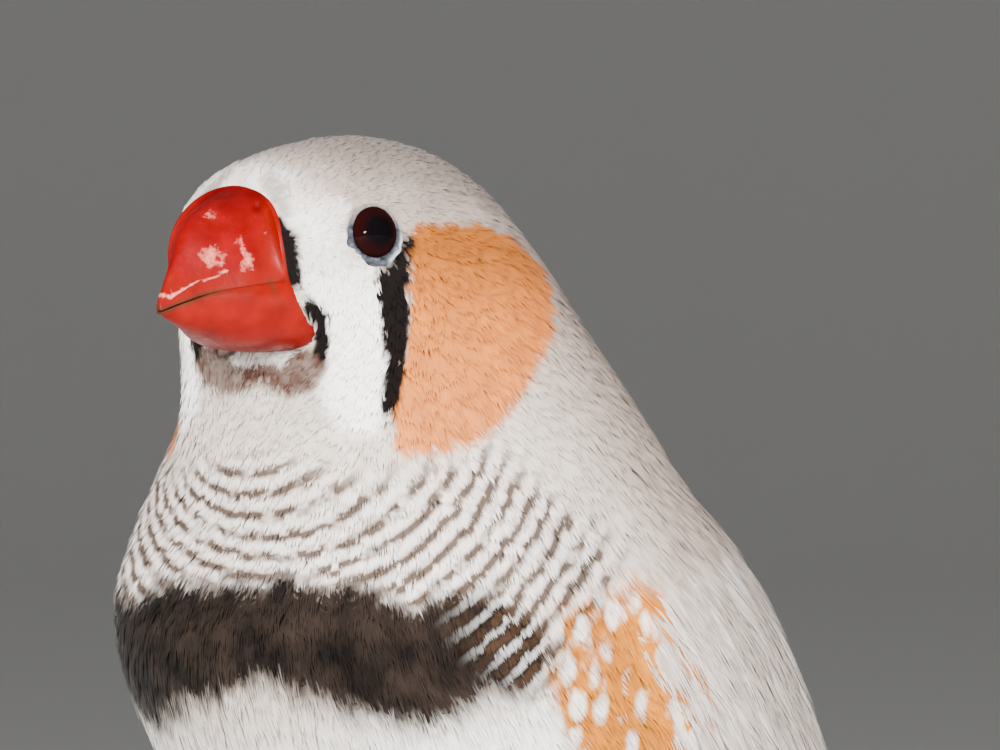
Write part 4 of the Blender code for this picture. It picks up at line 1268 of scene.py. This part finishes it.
class FINCH_OT_wings(bpy.types.Operator):
    """Folded wings: flight feathers in tiers, and soft coverts and scapulars over them"""

    bl_idname = "finch.wings"
    bl_label = "Wings"

    def execute(self, context):
        plumage = context.scene.finch_plumage
        back, quill, white = (np.array(getattr(plumage, name)) for name in ("back", "quill", "white"))
        rng = np.random.default_rng(11)
        place, across = np.meshgrid(np.linspace(8.9, 16.0, 60), np.linspace(-0.02, 1.02, 24), indexing="ij")
        top, low, _ = wing_span(place)
        degrees = top + (low - top) * across
        sunk = -0.35 - 1.2 * (ramp(across, 0.08, -0.02) + ramp(across, 0.92, 1.02))
        points = wing_surface(place, degrees, sunk)
        colour = np.broadcast_to(back, points.shape)
        finish = bpy.data.materials["contour_feather_keratin"]
        faces = grid_faces(60, 24)
        for side in ("left", "right"):
            mirror = MIRROR if side == "right" else np.ones(3)
            skin = piece_from(
                f"wing_skin_{side}", points * mirror, faces[:, ::-1] if side == "right" else faces, finish,
                {"barbs": points[..., 1:]}, {"plumage": colour, "marks": np.zeros(points.shape)},
            )
            settle(skin, "feathers_wing", f"wing_{side}")

        vanes = []
        kinds = []
        for name, count, first_root, last_root, first_tip, last_tip, width, lifts in WING_TIERS:
            for index in range(count):
                share = index / (count - 1)
                root = [a + (b - a) * share for a, b in zip(first_root, last_root)]
                tip = [a + (b - a) * share for a, b in zip(first_tip, last_tip)]
                vanes.append((root, tip, width, lifts, VANE_TILT, 0.25))
                kinds.append(name)

        def vane_shading(share, across, index):
            blade = quill if kinds[index] in ("primary", "secondary", "tertial") else back
            colour = np.broadcast_to(blade * (0.95 + 0.02 * (index % 4)), (*share.shape, 3))
            colour = laid(colour, blade * 0.7, ramp(np.abs(across), 0.5, 0.0) * 0.6)
            edge = ramp(np.abs(across), 0.72, 0.95) + ramp(share, 0.94, 1.0)
            colour = laid(colour, white, edge * 0.4)
            return laid(colour, blade * 0.45, ramp(np.abs(across), 0.09, 0.03))

        feather_vanes(
            "wing_blades", wing_bed, vanes, vane_shading, flight_feather_finish(), "feathers_wing", (), pair=True
        )

        def soft_shading(at_place, at_degrees, out, share):
            base = wing_surface(at_place, at_degrees, 0 * at_place)
            fade = 1 + 0.07 * mottle(base, 2.5, 21) + 0.05 * mottle(base, 0.8, 22)
            fade = fade * (0.98 + 0.03 * share) * rng.normal(1, 0.02, (len(share), 1))
            strand = mottle(np.stack((at_place * 0.8, at_degrees * 0.8, 0 * share), -1), 1.0, 23)
            pale = 0.12 + 0.05 * ramp(share, 0.6, 1.0) + 0.35 * ramp(strand, 0.0, 0.8)
            colour = laid(back * fade[..., None], white, pale)
            return colour, np.zeros_like(colour)

        def room(place, degrees):
            top, low, _ = wing_span(place)
            over = (place > 9.4) & (degrees > top - 7) & (degrees < low + 2)
            scapular = (place < 13.3) & (degrees < top + 22) | (place < 12.2)
            return np.where(over & scapular, 0.8 + 0.1 * (place - 9), 0)

        place, degrees = scattered(wing_surface, np.linspace(9.4, 13.4, 100), np.arange(8, 92, 0.8), room, rng)
        count = len(place)
        sizes = (
            np.interp(place, (9.4, 10.8, 13.0), (4.5, 6.4, 7.5)) * rng.uniform(0.8, 1.25, count),
            rng.uniform(1.6, 2.3, count), np.full(count, 0.35), rng.normal(0.08, 0.05, count),
            rng.normal(0, 5, count), np.full(count, 0.05),
        )
        feather_coat(
            "wing_coverts", wing_surface, place, degrees, sizes, feather_forms(19, 24, rng, 0.3),
            soft_shading, body_unwrap, rng, "feathers_wing", pair=True,
        )
        return {"FINISHED"}


class FINCH_OT_tail(bpy.types.Operator):
    """Twelve tail feathers, with barred coverts above and white ones below"""

    bl_idname = "finch.tail"
    bl_label = "Tail"

    def execute(self, context):
        plumage = context.scene.finch_plumage
        dark, black, white = (np.array(getattr(plumage, name)) for name in ("tail", "black", "white"))
        rng = np.random.default_rng(13)
        vanes = []
        for side in (1, -1):
            for pair in range(RECTRICES):
                root = (1.0 + 0.4 * pair, side * (0.7 + 0.45 * pair))
                tip = (TAIL_LENGTH - 0.25 * pair * pair, side * (1.0 + 0.6 * pair))
                lift = 0.55 - 0.3 * pair + (0.15 if side > 0 else 0.0)
                vanes.append((root, tip, RECTRIX_WIDTH, (lift * 0.6, lift), side * 0.12, 0.25))

        def shading(share, across, index):
            colour = np.broadcast_to(dark, (*share.shape, 3))
            colour = laid(colour, dark * 2.2, ramp(np.abs(across), 0.8, 1.0) * 0.5)
            return laid(colour, dark * 0.4, ramp(np.abs(across), 0.08, 0.03))

        finish = bpy.data.materials["flight_feather_keratin"]
        feather_vanes("tail_blades", tail_surface, vanes, shading, finish, "feathers_tail", ("tail",))

        def barred(at_place, at_degrees, out, share):
            stripes = np.cos((at_place + 0.4 * rng.normal(0, 1, (len(share), 1))) * 2 * math.pi / 3.4)
            colour = laid(np.broadcast_to(black, out.shape), white, ramp(stripes, 0.15, 0.45))
            return colour, np.zeros_like(colour)

        def plain(at_place, at_degrees, out, share):
            colour = white * (0.88 + 0.1 * share)[..., None]
            return colour, np.zeros_like(colour)

        for name, surface, shading, most in (
            ("upper_tail_coverts", over_tail, barred, 9.0), ("under_tail_coverts", under_tail, plain, 9.5)
        ):
            place, across = scattered(
                surface, np.linspace(0.5, most, 40), np.arange(-3.3, 3.3, 0.2),
                lambda place, degrees: np.full(np.shape(place), 0.85), rng,
            )
            count = len(place)
            sizes = (
                np.interp(place, (0, 9), (6.0, 8.0)) * rng.uniform(0.85, 1.1, count),
                rng.uniform(2.0, 2.6, count), np.full(count, 0.3), rng.normal(0.25, 0.1, count),
                across * -1.5 + rng.normal(0, 4, count), np.full(count, 0.06),
            )
            feather_coat(
                name, surface, place, across, sizes, feather_forms(15, 16, rng, 0.5), shading,
                lambda at, angle: np.stack((angle / 7 * 0.9 + 0.5, at / 20 + 0.1), -1), rng, "feathers_tail",
            )
        return {"FINISHED"}


class FINCH_OT_bill(bpy.types.Operator):
    """Both halves of the bill, with nostrils, a raised ridge above the mouth, painted highlights, and the mouth line
    painted dark as shade
    """

    bl_idname = "finch.bill"
    bl_label = "Bill"

    def execute(self, context):
        finish = bill_horn_finish()
        bare = context.scene.finch_bare_parts
        red, orange = np.array(bare.upper_bill), np.array(bare.lower_bill)
        stages, arch = 90, 72
        for name, node, ridge, way, fullness in (
            ("upper_bill_horn", "bill_upper", CULMEN, 1, UPPER_FULLNESS),
            ("lower_bill_horn", "bill_lower", GONYS, -1, LOWER_FULLNESS),
        ):
            place = np.linspace(0, 4, stages)[:, None]
            cut = way * (0.07 * ramp(place, 1.4, 2.6) - 0.02)  # the mouth closes towards the gape
            turn = np.linspace(-1, 1, arch)[None, :]
            angle = turn * math.pi / 2
            top, edge = smooth(ridge, place), smooth(TOMIUM, place)
            half_width = smooth(BILL_HALF_WIDTH, place)
            near_seat = np.maximum(0.0, 1 - place) ** 2
            bow = fullness + (1 - fullness) * place / 4 - near_seat * SEAT_FULLNESS * (way > 0)
            rise = np.maximum(0.0, np.cos(angle)) ** bow
            z = edge[..., 1] + cut + (top[..., 1] - edge[..., 1] - cut) * rise
            y = edge[..., 0] + (top[..., 0] - edge[..., 0]) * rise
            x = half_width * np.sin(angle)
            inner = np.linspace(1, -1, 10)[None, 1:-1]
            x = np.concatenate((x, half_width * inner), 1)
            y = np.concatenate((y, edge[..., 0] + 0 * inner), 1)
            z = np.concatenate((z, edge[..., 1] + cut + 0 * inner), 1)
            y = y + (seat_y(z) + jaw_back(x, z) - GAP - y) * near_seat
            points = np.stack((x, y, z), -1)
            root = points[:1] * (0.93, 1, 1) + (0, 1.6, 0)
            root[..., 2] = (root[..., 2] + 2.1) * 0.93 - 2.1
            points = np.concatenate((root, points))

            u = across_view(points)
            up = points[..., 2]
            upper = node == "bill_upper"
            colour = np.broadcast_to(red if upper else orange, points.shape)
            highlit = np.zeros(u.shape)
            ragged = 0.25 * mottle(points, 0.5, 31) + 0.2 * mottle(points, 1.3, 32)
            if upper:
                # Orange towards the base, lower edge and near side, crimson and darker towards the top and far side:
                # partly the horn's own colour, partly painted shade.
                warm = ramp(u + ragged, -2.2, -0.4) + ramp(up + ragged, -1.8, -3.2) * 0.8
                warm = warm * (1 - 0.7 * ramp(points[..., 0], 0.5, -1.0) * ramp(up, -2.5, -1.0))
                colour = laid(colour, orange, warm)
                colour = laid(colour, red * 0.55, ramp(up + ragged, 0.9, 2.4) * ramp(u, 0.0, -1.5) * 0.8)
                # Painted highlights: pale patches on the side, and a line along the ridge above the mouth, which also
                # stands out a little.
                for outline in PAINTED_HIGHLIGHTS:
                    highlit = np.maximum(highlit, ramp(inside(outline, u, up) + ragged * 0.5, -0.35, 0.4) * 0.36)
                ridge_height = np.interp(u, *np.array(HIGHLIT_RIDGE).T)
                wide = 0.09 + 0.12 * ramp(u, -5.4, -7.0)
                ridge_and_glint = np.exp(-((up - ridge_height) / wide) ** 2) * ramp(u, -2.2, -3.2)
                highlit = np.maximum(highlit, ridge_and_glint * (0.55 + ragged * 0.2))
                points = points + np.stack((np.sign(points[..., 0]) * 0.07, 0 * u, 0 * u), -1) * ridge_and_glint[..., None]
            else:
                # Darker along the top of the lower bill towards the tip, just under the upper bill's edge: painted
                # shade.
                colour = laid(colour, orange * 0.7, ramp(up + ragged, -4.9, -4.2) * ramp(u, -3.5, -5.5) * 0.7)
                colour = laid(colour, red * 1.2, ramp(ragged, 0.0, 0.4) * 0.4)
            # The mouth line between the two halves and a spot at the gape's corner are painted dark: painted shade in
            # the crease.
            mouth = edge[..., 1][:, :1]
            mouth = np.concatenate((mouth[:1], mouth)) * np.ones_like(up)
            gap = np.abs(up - mouth)
            dark = ramp(gap, 0.34, 0.1) * (ramp(u, -2.4, -4.4) * 0.9 + 0.25 * ramp(u, 0.5, -2.0))
            dark = dark + ramp(np.hypot(u + 0.43, up + 3.03), 0.4, 0.1) * 0.7
            colour = laid(colour, np.array((0.07, 0.014, 0.006)), dark)
            # Nostrils: shallow pits, their hollows painted darker as painted shade.
            for side in (1, -1):
                nostril = np.linalg.norm(points - NOSTRIL * (side, 1, 1), axis=-1)
                pit = ramp(nostril, 0.5, 0.1) * upper
                points = points + np.array((-side * 0.15, 0.1, -0.05)) * pit[..., None]
                colour = laid(colour, red * 0.45, pit * 0.6)
            rows, columns = points.shape[:2]
            faces = grid_faces(rows, columns, closed=True)
            flat = np.concatenate((points.reshape(-1, 3), points[-1:].mean(1)))
            last = rows * columns - columns
            ring = np.arange(columns)
            tip = np.stack((last + ring, last + (ring + 1) % columns, np.full(columns, rows * columns)), -1)
            faces = np.concatenate((faces[:, (0, 1, 2)], faces[:, (0, 2, 3)], tip))
            if upper:
                faces = faces[:, ::-1]
            colours = np.concatenate((colour.reshape(-1, 3), colour[-1, :1]))
            marks = np.stack((highlit, 0 * u, 0 * u), -1).reshape(-1, 3)
            piece = piece_from(
                name, flat, faces[:, ::-1], finish, None,
                {"plumage": colours, "marks": np.concatenate((marks, marks[-1:]))},
            )
            settle(piece, "bill_horn", node)
        return {"FINISHED"}


class FINCH_OT_eyes(bpy.types.Operator):
    """Eyes with pupil and iris under a wet cornea, and the bare, beaded lids round them"""

    bl_idname = "finch.eyes"
    bl_label = "Eyes and lids"

    def execute(self, context):
        cornea = cornea_finish()
        # Lids: bare skin in fine folds, matt, greyish blue where blood shows through.
        lid_skin = bare_finish("bare_lid_skin", 0.6, 0.16, 0.22, 0.5, subsurface_weight=0.1)
        pale = np.array(context.scene.finch_bare_parts.lid)
        top_shade = np.array(context.scene.finch_plumage.back) * 0.6
        for side, name in ((1, "left"), (-1, "right")):
            centre, opening, look = eye_place(side)
            above = unit(UP - look * look[2])
            behind = np.cross(look, above) * -side
            polar = np.linspace(0, math.pi, 60)[:, None, None]
            around = (np.arange(72) * 2 * math.pi / 72)[None, :, None]
            spoke = above * np.cos(around) + behind * np.sin(around)
            radius = EYE_RADIUS + 0.1 * ramp(polar, 0.7, 0.1) - 0.35 * ramp(polar, 0.95, 1.3)
            points = centre + radius * (look * np.cos(polar) + spoke * np.sin(polar))
            iris = np.concatenate((np.cos(around), np.sin(around), 0 * around), -1) * radius * np.sin(polar)
            faces = grid_faces(60, 72, closed=True)
            eye = piece_from(
                f"eyeball_{name}", points, faces if side > 0 else faces[:, ::-1], cornea, None, {"marks": iris}
            )
            settle(eye, "eye", f"eye_{name}")

            around = (np.arange(200) * 2 * math.pi / 200)[:, None]
            profile = (np.arange(16) * 2 * math.pi / 16)[None, :]
            low_back = ramp(np.cos(around - math.radians(140)), 0.2, 1.0)
            low = ramp(np.cos(around), 0.4, -0.5)
            breadth = 0.11 + 0.08 * low + 0.06 * low_back + 0.06 * ramp(-np.sin(around), 0.2, 1.0)
            uneven = np.stack((np.cos(around) * 1.8, np.sin(around) * 1.8, 0 * around), -1)
            breadth = breadth * (1 + 0.25 * mottle(uneven, 0.5, 47 + side) + 0.2 * mottle(uneven, 0.25, 48))
            inner = EYE_OPENING * (0.95 + 0.035 * np.cos(2 * (around - 0.5)))
            reach = inner + breadth * (1 + np.cos(profile))
            spoke = above * np.cos(around)[..., None] + behind * np.sin(around)[..., None]
            round_it = np.stack((np.cos(around) * reach, np.sin(around) * reach, 0 * reach), -1)
            beads = 0.14 * mottle(round_it, 0.32, 41 + side) + 0.08 * mottle(round_it, 0.16, 43)
            height = breadth * 0.85 * np.sin(profile) * (1 + beads * 3) + 0.05
            points = opening + spoke * reach[..., None] + look * height[..., None]
            colour = np.broadcast_to(pale, points.shape) * (1 + beads * 5)[..., None]
            colour = laid(colour, top_shade, ramp(np.cos(around), 0.1, 0.8) * 0.75 + 0 * profile)
            # A pale bluish arc on the lower, rear part of the lids: a painted highlight.
            painted_lid_glint = low_back ** 2 * ramp(np.cos(profile), -0.2, 0.5) * ramp(np.cos(around - 2.1), 0.7, 0.95)
            colour = laid(colour, np.array(linear("DDE6EA")), painted_lid_glint * 0.75)
            colour = laid(colour, pale * 0.3, ramp(np.cos(profile), -0.6, -0.95) * 0.8 + 0 * around)
            faces = grid_faces(201, 16, closed=True) % (200 * 16)
            lids = piece_from(
                f"lids_{name}", points, faces if side < 0 else faces[:, ::-1], lid_skin, None, {"plumage": colour}
            )
            settle(lids, "eye")
        return {"FINISHED"}


def tube(centres, radii, columns, front):
    """Points round a bent tube, from the side that front points to."""
    ahead = unit(np.gradient(centres, axis=0))
    side = unit(np.cross(ahead, front))
    top = np.cross(side, ahead)
    angle = np.arange(columns) * 2 * math.pi / columns
    spoke = top[:, None] * np.cos(angle)[None, :, None] + side[:, None] * np.sin(angle)[None, :, None]
    return centres[:, None] + spoke * radii[..., None], spoke, np.cos(angle)[None, :]


def scutes(along, height, facing):
    """Overlapping plates on the front: how far they stand out, and the grooves between."""
    step = along / height % 1.0
    plate = ramp(facing, -0.1, 0.35)
    groove = ramp(step, 0.12, 0.0) + ramp(step, 0.9, 1.0)
    return plate * (step - 0.5) * 0.1 - groove * 0.05 * plate, groove * plate


class FINCH_OT_legs(bpy.types.Operator):
    """Bare shanks with scutes in front, toes with pads beneath, and the claws"""

    bl_idname = "finch.legs"
    bl_label = "Legs and feet"

    def execute(self, context):
        # Leg scales: plates of keratin over thin skin, dry, with a dull gloss like a nail's.
        scale = bare_finish("leg_scute_keratin", 0.45, 0.5, 0.16, 0.4, ior=1.54)
        # Claws: solid keratin, rubbed smooth on perches, so glossier than the scales.
        horn = bare_finish("claw_keratin", 0.3, 0.7, 0.2, 0.15, ior=1.54)
        bare = context.scene.finch_bare_parts
        leg, claw = np.array(bare.leg), np.array(bare.claw)
        rows, columns = 90, 40
        bend, ankle, sole = np.array(THIGH_END), np.array(ANKLE), np.array(SHANK_END)
        path = np.concatenate((np.linspace(bend + unit(bend - ankle) * 1.5, ankle, rows - 12), np.linspace(ankle, sole, 13)[1:]))
        along = np.concatenate(([0], np.cumsum(np.linalg.norm(np.diff(path, axis=0), axis=1))))
        radii = np.interp(along / along[-1], (0, 0.2, 0.5, 0.85, 1), (1.2, 1.08, 0.95, 0.98, 1.2))[:, None]
        _, _, facing = tube(path, radii + np.zeros((1, columns)), columns, np.array((0.0, -1.0, 0.0)))
        raised, groove = scutes(along[:, None] + 0 * facing, SCUTE, facing + 0 * radii)
        points, _, _ = tube(path, radii + raised, columns, np.array((0.0, -1.0, 0.0)))
        shank = (points, leg * (1 - 0.45 * groove + 0.3 * raised)[..., None], grid_faces(len(path), columns, closed=True))

        middle = np.array((SHANK_END[0], SHANK_END[1], FLOOR_Z))
        feet, claws = [], []
        knots = np.linspace(0, 1, 14)
        boss = np.stack([middle + UP * BOSS_HEIGHT * share for share in 1 - knots])
        points, _, _ = tube(boss, np.interp(knots, (0, 0.5, 1), (1.15, 1.4, 1.6))[:, None] + np.zeros((1, 32)), 32, np.array((0.0, -1.0, 0.0)))
        feet.append((points, np.broadcast_to(leg, points.shape), grid_faces(14, 32, closed=True)))
        for _, heading, length, claw_length, pads in TOES:
            turn = math.radians(heading)
            way = np.array((math.sin(turn), -math.cos(turn), 0.0))
            share = np.linspace(0, 1, 70)
            radius = TOE_RADIUS * (1.06 - 0.25 * share) * (1 + 0.1 * np.cos(2 * math.pi * pads * share))
            centre = middle + way * (length * share)[:, None] + UP * (radius * 0.62)[:, None]
            closing = np.sqrt(np.clip((1.0 - share) / 0.06, 0.0, 1.0))
            radii = (radius * (0.35 + 0.65 * closing))[:, None]
            _, _, facing = tube(centre, radii + np.zeros((1, 28)), 28, UP)
            raised, groove = scutes(share[:, None] * length + 0 * facing, TOE_SCUTE, facing + 0 * radii)
            points, _, _ = tube(centre, radii + raised * 0.8, 28, UP)
            points[..., 2] = np.maximum(points[..., 2], FLOOR_Z)
            feet.append((points, leg * (1 - 0.4 * groove)[..., None], grid_faces(70, 28, closed=True)))

            share = np.linspace(0, 1, 26)
            height = 0.62 + 0.55 * np.sin(math.pi * share) - 0.35 * share
            root = middle + way * (length - 0.25)
            centre = root + way * ((claw_length + 0.5) * share)[:, None] + UP * height[:, None]
            radii = (0.46 * (1 - share) ** 0.75 + 0.05)[:, None] + np.zeros((1, 16))
            points, _, facing = tube(centre, radii, 16, UP)
            points[..., 2] = np.maximum(points[..., 2], FLOOR_Z)
            colour = laid(np.broadcast_to(leg * 0.6, points.shape), claw, ramp(share, 0.0, 0.25)[:, None] + 0 * facing)
            colour = laid(colour, claw * 0.35, ramp(share, 0.5, 1.0)[:, None] + 0 * facing)
            claws.append((points, colour, grid_faces(26, 16, closed=True)))

        claw_nodes = [f"claw_{toe[0]}_{{side}}" for toe in TOES]
        for name, forms, finish, slot, nodes in (
            ("shank_skin", [shank], scale, "leg_scales", ["shank_{side}"]),
            ("foot_skin", feet, scale, "leg_scales", ["foot_{side}"]),
            ("claw_horn", claws, horn, "claws", claw_nodes),
        ):
            points = np.concatenate([form[0].reshape(-1, 3) for form in forms])
            colour = np.concatenate([form[1].reshape(-1, 3) for form in forms])
            starts = np.cumsum([0] + [form[0].size // 3 for form in forms])
            faces = np.concatenate([form[2] + start for form, start in zip(forms, starts)])
            for side in ("left", "right"):
                mirror = MIRROR if side == "right" else np.ones(3)
                piece = piece_from(
                    f"{name}_{side}", points * mirror, faces if side == "right" else faces[:, ::-1],
                    finish, None, {"plumage": colour},
                )
                settle(piece, slot, *[node.format(side=side) for node in nodes])
        return {"FINISHED"}


class FINCH_OT_stage(bpy.types.Operator):
    """Pale floor and backdrop, soft lights and the camera"""

    bl_idname = "finch.stage"
    bl_label = "Stage"

    def execute(self, context):
        stage = context.scene.finch_stage
        made, tree, shader = new_finish("matt_painted_floor", roughness=0.7)
        shader.inputs["Base Color"].default_value = (*stage.floor, 1)
        profile = [(0.0, 0.0), (300.0, 0.0), (1500.0, 0.0), (4500.0, 0.0)]
        for degrees in range(10, 91, 10):
            angle = math.radians(degrees)
            profile.append((4500.0 + 2100.0 * math.sin(angle), 2100.0 * (1 - math.cos(angle))))
        profile += [(6600.0, 3600.0), (6600.0, 7800.0)]
        around = np.radians(np.arange(96) * 360 / 96)
        radius, height = np.array(profile).T
        points = np.stack((
            radius[:, None] * np.cos(around), radius[:, None] * np.sin(around),
            np.broadcast_to(height[:, None], (len(profile), 96)),
        ), -1)
        floor = piece_from(
            "floor", points.reshape(-1, 3) - BODY_SHIFT, grid_faces(len(profile), 96, closed=True), made
        )

        world = bpy.data.worlds.new("soft_grey")
        world.use_nodes = True
        background = world.node_tree.nodes["Background"]
        background.inputs["Color"].default_value = (0.93, 0.96, 1.0, 1)
        background.inputs["Strength"].default_value = stage.sky
        context.scene.world = world

        turn = math.radians(VIEW_AZIMUTH)
        across = Vector((math.cos(turn), math.sin(turn), 0.0))
        towards = Vector((math.sin(turn), -math.cos(turn), 0.0))
        up = Vector(UP)
        target = Vector(BODY_SHIFT) + across * VIEW_MIDDLE[0] + up * VIEW_MIDDLE[1]
        camera = bpy.data.objects.new("camera", bpy.data.cameras.new("camera"))
        camera.data.sensor_width = 36.0
        camera.data.lens = 36.0 * VIEW_DISTANCE / VIEW_WIDTH
        camera.data.clip_start = 0.01
        camera.location = (target + towards * VIEW_DISTANCE) * MM
        camera.rotation_euler = (-towards).to_track_quat("-Z", "Y").to_euler()
        context.scene.collection.objects.link(camera)
        context.scene.camera = camera

        for name, power, size, place in (
            ("key", stage.key_power, 260.0, towards * 600 - across * 300 + up * 260),
            ("fill", stage.fill_power, 500.0, towards * 520 + across * 580 + up * 60),
            ("spark", stage.spark_power, 70.0, towards * 690 - across * 120 + up * 140),
        ):
            light = bpy.data.objects.new(name, bpy.data.lights.new(name, "AREA"))
            light.data.energy = power
            light.data.size = size * MM
            light.visible_camera = False
            light.visible_glossy = name == "spark"
            light.visible_diffuse = name != "spark"
            light.location = (target + place) * MM
            light.rotation_euler = (-place).to_track_quat("-Z", "Y").to_euler()
            context.scene.collection.objects.link(light)
        return {"FINISHED"}


OPERATORS = (
    FINCH_OT_skin, FINCH_OT_coat, FINCH_OT_wings, FINCH_OT_tail, FINCH_OT_bill, FINCH_OT_eyes,
    FINCH_OT_legs, FINCH_OT_stage,
)


class FINCH_PT_panel(bpy.types.Panel):
    bl_idname = "FINCH_PT_panel"
    bl_label = "Zebra finch"
    bl_space_type = "VIEW_3D"
    bl_region_type = "UI"
    bl_category = "Finch"

    def draw(self, context):
        for operator in OPERATORS:
            self.layout.operator(operator.bl_idname)
        for label in GROUPS:
            values = getattr(context.scene, label)
            for name in values.__annotations__:
                self.layout.prop(values, name)


GROUPS = {"finch_plumage": FinchPlumage, "finch_bare_parts": FinchBareParts, "finch_stage": FinchStage}


def register():
    for label, group in GROUPS.items():
        bpy.utils.register_class(group)
        setattr(bpy.types.Scene, label, PointerProperty(type=group))
    for operator in OPERATORS:
        bpy.utils.register_class(operator)
    bpy.utils.register_class(FINCH_PT_panel)


def unregister():
    bpy.utils.unregister_class(FINCH_PT_panel)
    for operator in reversed(OPERATORS):
        bpy.utils.unregister_class(operator)
    for label, group in GROUPS.items():
        delattr(bpy.types.Scene, label)
        bpy.utils.unregister_class(group)


def main():
    register()
    for operator in OPERATORS:
        group, name = operator.bl_idname.split(".")
        getattr(getattr(bpy.ops, group), name)()


if __name__ == "__main__":
    main()
